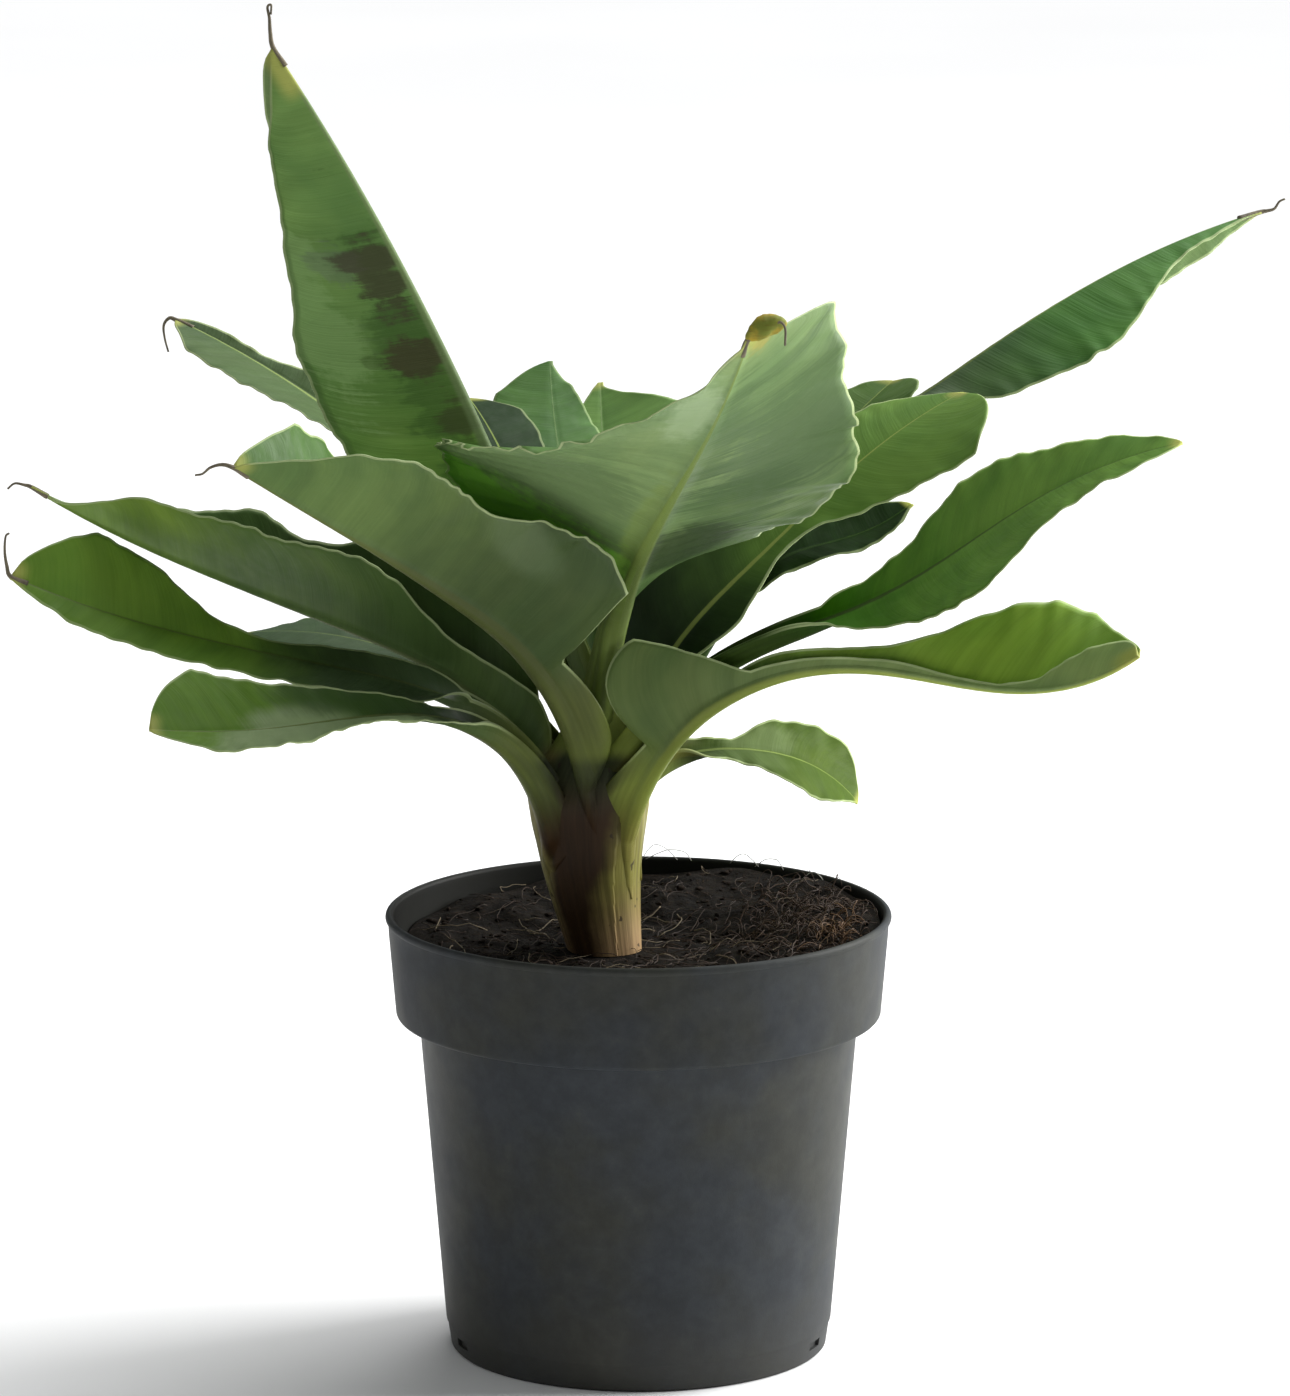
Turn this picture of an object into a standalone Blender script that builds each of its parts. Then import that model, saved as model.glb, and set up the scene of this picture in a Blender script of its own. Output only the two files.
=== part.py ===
"""A young banana plant in a round nursery pot, as separate closed solids.

Metres, +Z up. The origin is the middle of the pot's flat underside, +X is to the viewer's right and
+Y points away from the viewer. Sizes below are in millimetres and angles in degrees.
"""
import math

import bmesh
import bpy
import numpy as np

MM = 0.001
GAP = 0.3  # clearance between touching pieces

# Pot: a 14 cm nursery pot with a deep collar
POT_HEIGHT = 123.0
RIM_RADIUS = 70.0
RIM_BEAD = 1.6
COLLAR_TOP_RADIUS = 69.2
COLLAR_FOOT_RADIUS = 67.2
COLLAR_DEPTH = 29.0
COLLAR_LIP = 1.4
BODY_TOP_RADIUS = 60.8
BODY_FOOT_RADIUS = 53.6
FOOT_RADIUS = 52.0
FOOT_CHAMFER = 7.0
WALL = 1.5
FLOOR = 3.0
PAD_RADIUS = 24.0
FOOT_RING_WIDTH = 5.0
GROOVE_DEPTH = 1.4
DRAIN_HOLES = 8
DRAIN_RADIUS = 4.0
DRAIN_CIRCLE = 36.0
TURNED_STEPS = 48

# Soil: a plug with an uneven top, level only where the stem stands
SOIL_LEVEL = 112.0
SOIL_LOWEST = 104.0
SOIL_RISE_RIGHT = 0.055
SOIL_RISE_BACK = 0.035
SOIL_RIPPLE = 1.3
SOIL_RINGS = 6
STEM_SEAT_RADIUS = 20.0

# Pseudostem: height, half width, half depth and middle of each ring up the bundle of leaf sheaths
STEM_RINGS = (
    (SOIL_LEVEL + GAP, 10.8, 10.4, -9.3),
    (125.0, 12.6, 12.0, -11.5),
    (138.0, 14.6, 13.2, -13.1),
    (150.0, 16.8, 14.0, -13.6),
    (158.0, 19.0, 14.8, -13.6),
    (163.0, 21.4, 15.2, -13.6),
    (165.5, 20.6, 14.4, -13.6),
    (168.0, 15.5, 13.0, -12.4),
    (172.0, 12.5, 12.0, -11.5),
    (178.0, 11.5, 11.0, -11.0),
    (184.0, 8.5, 8.5, -11.0),
    (187.0, 4.0, 4.0, -11.0),
)
STEM_SIDES = 28
SHEATHS = 5
SHEATH_RELIEF = 0.045

# Leaves: what all of them share
LEAF_THICKNESS = 0.0105  # of the leaf's length
RIB_THICKNESS = 1.35  # times the blade's thickness
STALK_HALF_WIDTH = 4.6
STALK_FOLD = 58.0
TAIL_HALF_WIDTH = 0.9
BLADE_FOOT_EASE = 0.10
BLADE_TIP_EASE = 0.14
HALF_COLUMNS = 3
STALK_STATIONS = 4
BLADE_STATIONS = 11
MIDRIB_STEPS = 120


class Half:
    """One half of a blade: its width at evenly spaced stations from foot to tip, and how it stands."""

    def __init__(self, widths, fold=(0, 0), curl=0):
        self.widths = widths
        self.fold = fold
        self.curl = curl


class Leaf:
    """A stalk and blade: where it leaves the stem, how steeply it rises, where it heads and how it rolls.

    A positive roll lifts the right half, a positive fold lifts both halves, and the tail is the dry
    thread that runs on from the tip.
    """

    def __init__(self, name, foot, length, stalk, rise, heading, left, right, roll=(0,), tail=None):
        self.name = name
        self.foot = foot
        self.length = length
        self.stalk = stalk
        self.rise = rise
        self.heading = heading
        self.roll = roll
        self.left = left
        self.right = right
        self.tail = tail


LEAVES = (
    Leaf(
        "tall_left", foot=(-12.5, 1.5, 179), length=203, stalk=40,
        rise=(73, 67, 62, 56), heading=(182, 176, 171), tail=(-1, 0, 12),
        left=Half((36, 37, 39, 24, 8), fold=(-70, -60)),
        right=Half((21, 21, 20, 18, 16), fold=(-80, -78)),
    ),
    Leaf(
        "front_centre", foot=(-10.5, -5, 170), length=189, stalk=49,
        rise=(84, 40, 35, 54), heading=(289, 285, 295), roll=(-20, 20, -20), tail=(10, -3, 5),
        left=Half((27, 41, 50, 43, 37), fold=(30, 10)),
        right=Half((19, 54, 62, 40, 1), fold=(5, -5)),
    ),
    Leaf(
        "front_left", foot=(-14, -13.5, 160), length=171, stalk=40,
        rise=(78, 37, 30, 32), heading=(221, 230, 212), roll=(12, 0, 14), tail=(-10, 0, 1),
        left=Half((32, 41, 30, 33, 16), fold=(38, 52), curl=-5),
        right=Half((22, 26, 31, 27, 17), fold=(16, 60), curl=-5),
    ),
    Leaf(
        "left_middle", foot=(-24.5, -0.5, 150.5), length=175, stalk=13,
        rise=(77, 29, 22, 31), heading=(189, 182, 178), roll=(-30, 20, -5), tail=(-6.5, 0, -0.5),
        left=Half((16, 11, 31, 27, 1), fold=(90, 40)),
        right=Half((17, 22, 18, 16, 1), fold=(65, 30)),
    ),
    Leaf(
        "left_low", foot=(-24, -6, 155), length=168, stalk=37,
        rise=(68, 18, 14, 24), heading=(204, 185, 179), roll=(5, 5, 25), tail=(-1.5, 0, 12),
        left=Half((12, 14, 6, 9, 4), fold=(0, -25)),
        right=Half((10, 9, 6, 20, 22), fold=(25, 35), curl=5),
    ),
    Leaf(
        "left_lowest", foot=(-24.5, -10, 148), length=148, stalk=42,
        rise=(76, 21, 0, 7), heading=(219, 223, 192), roll=(0, 15, 10),
        left=Half((1, 1, 6, 14, 14), fold=(0, 5)),
        right=Half((4, 7, 12, 18, 26), fold=(20, 30), curl=5),
    ),
    Leaf(
        "left_far", foot=(-20, 4.5, 162), length=186, stalk=77,
        rise=(102, 43, 29, 19), heading=(160, 147, 153), tail=(-4, 0, 1),
        left=Half((9, 18, 24, 22, 10), fold=(30, -5)),
        right=Half((17, 15, 12, 4, 6), fold=(25, 30)),
    ),
    Leaf(
        "left_tucked", foot=(-21, 8, 161.5), length=105, stalk=33,
        rise=(55, 25, 9, -10), heading=(156, 161, 162),
        left=Half((1, 7, 16, 13, 4), fold=(-5, -10)),
        right=Half((14, 17, 17, 16, 13), fold=(30, -5)),
    ),
    Leaf(
        "right_high", foot=(-3, 7.5, 177), length=240, stalk=115,
        rise=(63, 36, 28, 11), heading=(26, 22, 27), roll=(-5, 5, 17), tail=(7, 0, 4),
        left=Half((7, 13, 14, 10, 3), fold=(-60, -70)),
        right=Half((5, 18, 22, 7, 1), fold=(-48, -41)),
    ),
    Leaf(
        "right_middle", foot=(-1, -3, 164.5), length=143, stalk=19,
        rise=(88, 47, 41, 21), heading=(5, 11, 28), roll=(-10, -15, 15),
        left=Half((20, 21, 15, 22, 26), fold=(20, 10)),
        right=Half((1, 10, 5, 26, 51), fold=(-50, -5)),
    ),
    Leaf(
        "right_tucked", foot=(0.5, 2, 174), length=112, stalk=42,
        rise=(46, 52, 6, 23), heading=(17, 32, 45),
        left=Half((6, 7, 8, 8, 7), fold=(30, 35)),
        right=Half((6, 6, 7, 6, 2), fold=(-30, -15)),
    ),
    Leaf(
        "right_long", foot=(-1.5, -11.5, 172), length=182, stalk=64,
        rise=(52, 24, 36, 14), heading=(-27, -20, -7), roll=(0, -20, 0),
        left=Half((7, 12, 27, 20, 12), fold=(25, 10)),
        right=Half((1, 20, 37, 21, 17), fold=(-5, 0)),
    ),
    Leaf(
        "right_low", foot=(-3.5, -8, 145.5), length=182, stalk=30,
        rise=(70, 29, -6, 36), heading=(310, 338, 327), roll=(-5, -5, 30),
        left=Half((1, 7, 8, 29, 22), fold=(85, 50), curl=5),
        right=Half((48, 5, 4, 3, 22), fold=(90, 110), curl=5),
    ),
    Leaf(
        "right_drooping", foot=(-3, 8, 152.5), length=80, stalk=20,
        rise=(52, 4, -19, -52), heading=(27, 25, 21), roll=(0, -15, -20),
        left=Half((10, 4, 12, 16, 11), fold=(15, 25), curl=5),
        right=Half((6, 6, 13, 13, 4), fold=(-10, -15)),
    ),
    Leaf(
        "back_left", foot=(-10, 12, 173.5), length=140, stalk=48,
        rise=(63, 44, 27, 26), heading=(106, 99, 92),
        left=Half((15, 16, 17, 18, 13), fold=(5, -10)),
        right=Half((18, 17, 15, 9, 2)),
    ),
    Leaf(
        "back_right", foot=(-9.5, 12.5, 165), length=174, stalk=52,
        rise=(60, 36, 12, 20), heading=(85, 92, 91),
        left=Half((19, 16, 13, 9, 5), fold=(0, -10)),
        right=Half((26, 32, 34, 26, 1), fold=(25, 15), curl=5),
    ),
    Leaf(
        "back_outer_left", foot=(-18, 12, 170), length=124, stalk=60,
        rise=(97, 51, 33, 15), heading=(122, 112, 110),
        left=Half((10, 12, 14, 14, 13)),
        right=Half((10, 12, 13, 14, 11)),
    ),
    Leaf(
        "back_outer_right", foot=(-1.5, 11, 170), length=142, stalk=62,
        rise=(68, 37, 35, 21), heading=(50, 45, 52),
        left=Half((14, 14, 14, 13, 13), fold=(0, 5)),
        right=Half((12, 15, 17, 19, 22), fold=(10, 20)),
    ),
    Leaf(
        "back_low", foot=(-12, 11, 159), length=122, stalk=50,
        rise=(31, 17, 2, -11), heading=(85, 89, 90),
        left=Half((10, 12, 13, 12, 11), fold=(10, 0)),
        right=Half((10, 12, 13, 12, 11), fold=(10, 0)),
    ),
)


def keyed(values, along):
    """A smooth curve through evenly spaced values, read at fractions from 0 to 1."""
    values = np.asarray(values, float)
    spans = len(values) - 1
    if spans == 0:
        return np.full(np.shape(along), values[0])
    slopes = np.gradient(values)
    place = np.clip(along, 0, 1) * spans
    first = np.minimum(place.astype(int), spans - 1)
    t = place - first
    return (
        (2 * t**3 - 3 * t**2 + 1) * values[first]
        + (t**3 - 2 * t**2 + t) * slopes[first]
        + (3 * t**2 - 2 * t**3) * values[first + 1]
        + (t**3 - t**2) * slopes[first + 1]
    )


def smooth_step(low, high, value):
    t = np.clip((value - low) / (high - low), 0, 1)
    return t * t * (3 - 2 * t)


def directions(leaf, along):
    """The midrib's tangent, and the side and upper directions of the leaf there."""
    rise = np.radians(keyed(leaf.rise, along))
    heading = np.radians(keyed(leaf.heading, along))
    roll = np.radians(keyed(leaf.roll, along))[:, None]
    tangent = np.stack(
        (np.cos(heading) * np.cos(rise), np.sin(heading) * np.cos(rise), np.sin(rise)), -1
    )
    level = np.stack((np.sin(heading), -np.cos(heading), np.zeros_like(heading)), -1)
    normal = np.cross(level, tangent)
    side = np.cos(roll) * level + np.sin(roll) * normal
    upper = np.cos(roll) * normal - np.sin(roll) * level
    return tangent, side, upper


def midrib(leaf, along):
    """Points on the midrib, from the foot out, by adding up short steps along its tangent."""
    fine = np.linspace(0, 1, MIDRIB_STEPS + 1)
    tangent = directions(leaf, fine)[0]
    steps = (tangent[1:] + tangent[:-1]) / 2 * leaf.length / MIDRIB_STEPS
    path = np.vstack((np.zeros(3), np.cumsum(steps, 0))) + np.array(leaf.foot, float)
    return np.stack([np.interp(along, fine, path[:, axis]) for axis in range(3)], -1)


def half_width(half, blade):
    """The blade's half width, with a round foot and tip, and no less than the stalk or the tail."""
    ease = np.sqrt(np.clip(blade / BLADE_FOOT_EASE, 0, 1) * np.clip((1 - blade) / BLADE_TIP_EASE, 0, 1))
    stalk = STALK_HALF_WIDTH + (TAIL_HALF_WIDTH - STALK_HALF_WIDTH) * smooth_step(0, 1, blade)
    return np.maximum(np.maximum(keyed(half.widths, blade), 0) * ease, stalk)


def leaf_stations(leaf):
    """Fractions of the leaf's length where it has a section: a few on the stalk, more on the blade."""
    stalk_share = leaf.stalk / leaf.length
    stalk = np.linspace(0, stalk_share, STALK_STATIONS, endpoint=False)
    blade = np.linspace(stalk_share, 1, BLADE_STATIONS)
    return np.concatenate((stalk, blade))


def leaf_sections(leaf):
    """Closed sections of the leaf, each a bent strip with an upper and a lower line of points."""
    along = leaf_stations(leaf)
    blade = (along * leaf.length - leaf.stalk) / (leaf.length - leaf.stalk)
    side, upper = directions(leaf, along)[1:]
    path = midrib(leaf, along)
    thick = leaf.length * LEAF_THICKNESS / 2
    top = {0: path + upper * thick * RIB_THICKNESS}
    low = {0: path - upper * thick * RIB_THICKNESS}
    into_blade = smooth_step(-0.05, 0.15, blade)
    for sign, half in ((-1, leaf.left), (1, leaf.right)):
        width = half_width(half, blade) / HALF_COLUMNS
        fold = STALK_FOLD + (keyed(half.fold, blade) - STALK_FOLD) * into_blade
        steepest = np.degrees(np.arctan2(width, thick * RIB_THICKNESS))
        fold = np.clip(fold, -steepest, steepest)
        here = path
        for column in range(1, HALF_COLUMNS + 1):
            bend = half.curl * into_blade * (column - 0.5) / HALF_COLUMNS
            angle = np.radians(fold + bend)[:, None]
            out = sign * np.cos(angle) * side + np.sin(angle) * upper
            face = np.cos(angle) * upper - sign * np.sin(angle) * side
            here = here + out * width[:, None]
            top[sign * column] = here + face * thick
            low[sign * column] = here - face * thick
    columns = range(-HALF_COLUMNS, HALF_COLUMNS + 1)
    ring = [top[column] for column in columns] + [low[column] for column in reversed(columns)]
    sections = np.stack(ring, 1)
    if leaf.tail:
        sections = np.concatenate((sections, sections[-1:] + np.array(leaf.tail)))
    return sections


def loft(name, sections):
    """A closed mesh through sections that have the same number of points each, in millimetres."""
    mesh = bmesh.new()
    rings = [[mesh.verts.new(point * MM) for point in section] for section in sections]
    for ring, following in zip(rings, rings[1:]):
        for index in range(len(ring)):
            after = (index + 1) % len(ring)
            mesh.faces.new((ring[index], ring[after], following[after], following[index]))
    mesh.faces.new(rings[0])
    mesh.faces.new(reversed(rings[-1]))
    bmesh.ops.recalc_face_normals(mesh, faces=mesh.faces)
    return as_object(name, mesh)


def as_object(name, mesh):
    data = bpy.data.meshes.new(name)
    mesh.to_mesh(data)
    mesh.free()
    return bpy.data.objects.new(name, data)


def make_collection(name):
    collection = bpy.data.collections.new(name)
    bpy.context.scene.collection.children.link(collection)
    return collection


def make_material(name, colour, roughness, metallic=0.0):
    material = bpy.data.materials.new(name)
    material.use_nodes = True
    shader = material.node_tree.nodes["Principled BSDF"]
    shader.inputs["Base Color"].default_value = (*colour, 1)
    shader.inputs["Roughness"].default_value = roughness
    shader.inputs["Metallic"].default_value = metallic
    return material


def finish(piece, collection, material, smooth_angle=40):
    """Puts a piece in its collection, with its material, shaded smooth."""
    collection.objects.link(piece)
    piece.data.materials.append(material)
    piece.data.shade_smooth()
    piece.data.set_sharp_from_angle(angle=math.radians(smooth_angle))


def turned(name, profile):
    """A profile of radius and height in millimetres, turned round the Z axis with a Screw modifier."""
    mesh = bmesh.new()
    points = [mesh.verts.new((radius * MM, 0, height * MM)) for radius, height in profile]
    for first, second in zip(points, points[1:]):
        mesh.edges.new((first, second))
    piece = as_object(name, mesh)
    screw = piece.modifiers.new("turn", "SCREW")
    screw.angle = math.tau
    screw.steps = TURNED_STEPS
    screw.render_steps = TURNED_STEPS
    screw.use_merge_vertices = True
    screw.merge_threshold = 0.00001
    return piece


def subtract(piece, cutter):
    """Cuts a piece by a cutter that stays in the file, hidden from renders."""
    cut = piece.modifiers.new("cut by " + cutter.name, "BOOLEAN")
    cut.operation = "DIFFERENCE"
    cut.solver = "EXACT"
    cut.object = cutter


def add_cutter(cutter, collection):
    collection.objects.link(cutter)
    cutter.hide_render = True
    cutter.display_type = "WIRE"
    return cutter


def inner_wall():
    """The inside of the pot, from the floor up: radius and height."""
    shelf = POT_HEIGHT - COLLAR_DEPTH + WALL
    return (
        (FOOT_RADIUS - WALL, FLOOR),
        (BODY_FOOT_RADIUS - WALL, FLOOR + FOOT_CHAMFER),
        (BODY_TOP_RADIUS - WALL, shelf),
        (COLLAR_FOOT_RADIUS - COLLAR_LIP - WALL, shelf + GAP),
        (COLLAR_FOOT_RADIUS - WALL, shelf + COLLAR_LIP),
        (COLLAR_TOP_RADIUS - WALL, POT_HEIGHT - RIM_BEAD),
    )


def make_pot(parts, cutters):
    """The pot: a thin turned wall with a bead, a deep collar and drain holes through its floor."""
    collar_foot = POT_HEIGHT - COLLAR_DEPTH
    ring = FOOT_RADIUS - FOOT_RING_WIDTH
    bead = (
        (RIM_RADIUS - RIM_BEAD, POT_HEIGHT),
        (RIM_RADIUS - RIM_BEAD * 0.3, POT_HEIGHT - RIM_BEAD * 0.15),
        (RIM_RADIUS, POT_HEIGHT - RIM_BEAD * 0.6),
        (RIM_RADIUS - RIM_BEAD * 0.2, POT_HEIGHT - RIM_BEAD * 1.3),
        (COLLAR_TOP_RADIUS, POT_HEIGHT - RIM_BEAD * 2),
    )
    outside = (
        (COLLAR_FOOT_RADIUS, collar_foot + COLLAR_LIP),
        (COLLAR_FOOT_RADIUS - COLLAR_LIP * 0.4, collar_foot + COLLAR_LIP * 0.3),
        (COLLAR_FOOT_RADIUS - COLLAR_LIP, collar_foot),
        (BODY_TOP_RADIUS, collar_foot),
        (BODY_FOOT_RADIUS, FOOT_CHAMFER),
        (FOOT_RADIUS, 0),
        (ring, 0),
        (ring - GROOVE_DEPTH, GROOVE_DEPTH),
        (PAD_RADIUS + GROOVE_DEPTH, GROOVE_DEPTH),
        (PAD_RADIUS, 0),
        (0, 0),
    )
    pot = turned("pot", ((0, FLOOR),) + inner_wall() + bead + outside)
    for number in range(DRAIN_HOLES):
        angle = math.tau * (number + 0.5) / DRAIN_HOLES
        hole = bmesh.new()
        bmesh.ops.create_cone(
            hole, cap_ends=True, segments=12, radius1=DRAIN_RADIUS * MM, radius2=DRAIN_RADIUS * MM,
            depth=3 * FLOOR * MM,
        )
        cutter = add_cutter(as_object(f"drain_cutter_{number + 1}", hole), cutters)
        cutter.location = (DRAIN_CIRCLE * MM * math.cos(angle), DRAIN_CIRCLE * MM * math.sin(angle), 0)
        subtract(pot, cutter)
    finish(pot, parts, make_material("pot", (0.042, 0.048, 0.05), 0.5))


def soil_height(x, y):
    """The soil's top: it rises to the right and the back, ripples, and is level under the stem."""
    slope = SOIL_RISE_RIGHT * x + SOIL_RISE_BACK * y
    ripple = SOIL_RIPPLE * math.sin(x * 0.13 + 1.0) * math.sin(y * 0.17 + 0.6)
    away = math.hypot(x - STEM_RINGS[0][3], y)
    return SOIL_LEVEL + (slope + ripple) * float(smooth_step(STEM_SEAT_RADIUS, 2 * STEM_SEAT_RADIUS, away))


def make_soil(parts):
    """The plug of soil that fills the pot, just clear of its wall and floor."""
    wall = [(radius - GAP, height + GAP) for radius, height in inner_wall()]
    shelf_radius, shelf = wall[-2]
    top_radius, top = wall[-1]
    edge = shelf_radius + (top_radius - shelf_radius) * (SOIL_LOWEST - shelf) / (top - shelf)
    profile = [(edge * ring / SOIL_RINGS, SOIL_LEVEL) for ring in range(SOIL_RINGS + 1)]
    profile += list(reversed(wall[:-1])) + [(0, FLOOR + GAP)]
    turned_soil = turned("turned_soil", profile)
    bpy.context.scene.collection.objects.link(turned_soil)
    evaluated = turned_soil.evaluated_get(bpy.context.evaluated_depsgraph_get())
    soil = bpy.data.objects.new("soil", bpy.data.meshes.new_from_object(evaluated))
    bpy.data.objects.remove(turned_soil)
    for vertex in soil.data.vertices:
        if abs(vertex.co.z - SOIL_LEVEL * MM) < MM * 0.01:
            vertex.co.z = soil_height(vertex.co.x / MM, vertex.co.y / MM) * MM
    finish(soil, parts, make_material("soil", (0.035, 0.022, 0.014), 0.95))


def stem_sections():
    """Rings of the pseudostem, lobed where the sheaths overlap, and turning slowly on the way up."""
    angles = np.arange(STEM_SIDES) * math.tau / STEM_SIDES
    foot = STEM_RINGS[0][0]
    sections = []
    for height, half_wide, half_deep, middle in STEM_RINGS:
        turn = (height - foot) * 0.012
        relief = 1 + SHEATH_RELIEF * (np.abs(np.sin(SHEATHS * angles / 2 + turn)) - 0.6)
        x = middle + half_wide * relief * np.cos(angles)
        y = half_deep * relief * np.sin(angles)
        sections.append(np.stack((x, y, np.full(STEM_SIDES, height)), -1))
    return sections


def make_stem(parts, cutters):
    """The pseudostem, and the slightly larger copy of it that trims the leaf stalks."""
    stem = loft("pseudostem", stem_sections())
    finish(stem, parts, make_material("pseudostem", (0.16, 0.17, 0.05), 0.5))
    room = bmesh.new()
    room.from_mesh(stem.data)
    room.normal_update()
    for vertex in room.verts:
        vertex.co += vertex.normal * 1.1 * GAP * MM
    return add_cutter(as_object("stem_cutter", room), cutters)


def make_leaves(parts, stem_cutter):
    """One node for each leaf, its stalk's foot trimmed just clear of the stem."""
    for leaf in LEAVES:
        piece = loft("leaf_" + leaf.name, leaf_sections(leaf))
        finish(piece, parts, make_material("leaf_" + leaf.name, (0.08, 0.19, 0.045), 0.45))
        subtract(piece, stem_cutter)


def main():
    for old in list(bpy.data.objects):
        bpy.data.objects.remove(old, do_unlink=True)
    parts = make_collection("potted_banana_plant")
    cutters = make_collection("cutters")
    make_pot(parts, cutters)
    make_soil(parts)
    make_leaves(parts, make_stem(parts, cutters))


main()
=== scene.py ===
"""The looks of a young banana plant in a nursery pot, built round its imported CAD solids.

Sizes are in millimetres and angles in degrees, in the frame of the CAD model: the origin is the middle of
the pot's flat underside, +X is to the viewer's right and +Y points away from the viewer.
"""

import math
from dataclasses import dataclass

import bmesh
import bpy
import numpy as np
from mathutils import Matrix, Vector


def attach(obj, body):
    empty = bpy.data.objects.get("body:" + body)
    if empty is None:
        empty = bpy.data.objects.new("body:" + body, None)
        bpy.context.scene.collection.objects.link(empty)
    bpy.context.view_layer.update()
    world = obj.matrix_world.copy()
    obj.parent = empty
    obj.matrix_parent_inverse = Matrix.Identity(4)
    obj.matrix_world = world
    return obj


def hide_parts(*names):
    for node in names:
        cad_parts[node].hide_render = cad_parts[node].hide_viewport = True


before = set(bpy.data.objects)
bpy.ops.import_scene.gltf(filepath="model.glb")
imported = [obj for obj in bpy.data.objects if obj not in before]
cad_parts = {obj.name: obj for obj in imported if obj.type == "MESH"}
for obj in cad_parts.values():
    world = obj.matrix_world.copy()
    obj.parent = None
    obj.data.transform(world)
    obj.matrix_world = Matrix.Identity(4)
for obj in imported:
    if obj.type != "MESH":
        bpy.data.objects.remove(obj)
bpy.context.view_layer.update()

MM = 0.001

# Camera: a long lens, looking slightly down; its focal length is 8000 pixels of a photo 1396 high
SENSOR = 36
LENS = 8000 * SENSOR / 1396
CAMERA_DISTANCE = 2200.0
CAMERA_DIP = 11.5
CAMERA_AIM = (1.8, 0.0, 183.0)
LIGHT_AIM = (0, 0, 150)

# Pot
POT_HEIGHT = 123.0
RIM_RADIUS = 70.0
RIM_BEAD = 1.6
RIM_ROUNDING = 1.15
COLLAR_TOP_RADIUS = 69.2
COLLAR_FOOT_RADIUS = 67.2
COLLAR_DEPTH = 29.0
COLLAR_LIP = 1.4
BODY_TOP_RADIUS = 60.8
BODY_FOOT_RADIUS = 53.6
FOOT_RADIUS = 52.0
FOOT_CHAMFER = 7.0
WALL = 1.5
FLOOR = 3.0
PAD_RADIUS = 24.0
PAD_HEIGHT = 1.4
POT_STEPS = 192

# Drain holes; those at the right and the left have a slot outside them in the foot's chamfer, whose
# sizes are across the wall, along it and up
DRAIN_HOLES = 8
DRAIN_RADIUS = 4.0
DRAIN_CIRCLE = 36.0
DRAIN_SLOT = (2.4, 7, 2.2)
DRAIN_SLOT_CIRCLE = 52.9
DRAIN_SLOT_HEIGHT = 4.4

# Soil, and where on it the stem stands
SOIL_LEVEL = 112.0
SOIL_RISE_RIGHT = 0.055
SOIL_RISE_BACK = 0.035
SOIL_RIPPLE = 1.3
SOIL_BANK = 4.5
SOIL_BANK_HEADING = 75
SOIL_GAP = 0.9
SOIL_PLUG = 15.0
SOIL_RINGS = 90
SOIL_SIDES = 240
STEM_MIDDLE = -9.3

# What lies on the soil: how far from the pot's axis, and how clear of the stem's middle
LITTER_REACH = 66.0
CRUMBS = 620
CRUMB_REACH, CRUMB_CLEARANCE = 64.5, 12.5
FIBRE_REACH, FIBRE_CLEARANCE = 64.0, 13.0
FIBRE_STEPS = 12

# Fibres: kind, count, centre, spread, lengths, lifts, radii, bend and colour
FIBRES = (
    ("hair", 330, (0, 0), 34, (5, 20), (0, 1.4), (0.09, 0.18), 1.6, (56, 43, 33)),
    ("pale", 60, (-14, -6), 34, (8, 24), (0, 1.8), (0.11, 0.2), 1.4, (110, 98, 78)),
    ("coir", 300, (46, 12), (10, 20), (4, 13), (0.4, 3.6), (0.1, 0.24), 2.2, (60, 44, 31)),
    ("tuft", 60, (54, -4), (3, 5), (4, 10), (0.8, 3.4), (0.12, 0.26), 2.2, (98, 73, 50)),
)

# White root hairs that stand over the pot's rim at the back
FLUFF = (
    ((1, 67, 122.6), (3, 67.5, 125.6), (5, 68, 126.6), (8, 67.5, 125.4), (11, 66, 122.6)),
    ((2, 67, 122.6), (6, 67.4, 124.4), (9, 67.5, 125.2), (13, 66.4, 124.8), (15, 65, 122.6)),
    ((26, 61.5, 122.6), (28, 61, 124.8), (30, 61, 125.4), (32, 60, 124.2), (34, 58, 122.4)),
    ((33, 58, 122.4), (36, 57.5, 124.6), (39, 56, 124.9), (40, 55, 124), (41, 53.5, 122.4)),
    ((45, 47, 120), (48, 47, 122.8), (50, 45.4, 123.5), (52, 43, 121.8), (53, 41, 119)),
)

# The pseudostem's CAD solid, which the leaves' sheaths wrap: heights, half widths, half depths and middles
STEM_RINGS = (
    (112.3, 125.0, 138.0, 150.0, 158.0, 163.0, 165.5, 168.0, 172.0, 178.0, 184.0, 187.0),
    (10.8, 12.6, 14.6, 16.8, 19.0, 21.4, 20.6, 15.5, 12.5, 11.5, 8.5, 4.0),
    (10.4, 12.0, 13.2, 14.0, 14.8, 15.2, 14.4, 13.0, 12.0, 11.0, 8.5, 4.0),
    (-9.3, -11.5, -13.1, -13.6, -13.6, -13.6, -13.6, -12.4, -11.5, -11.0, -11.0, -11.0),
)

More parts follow.
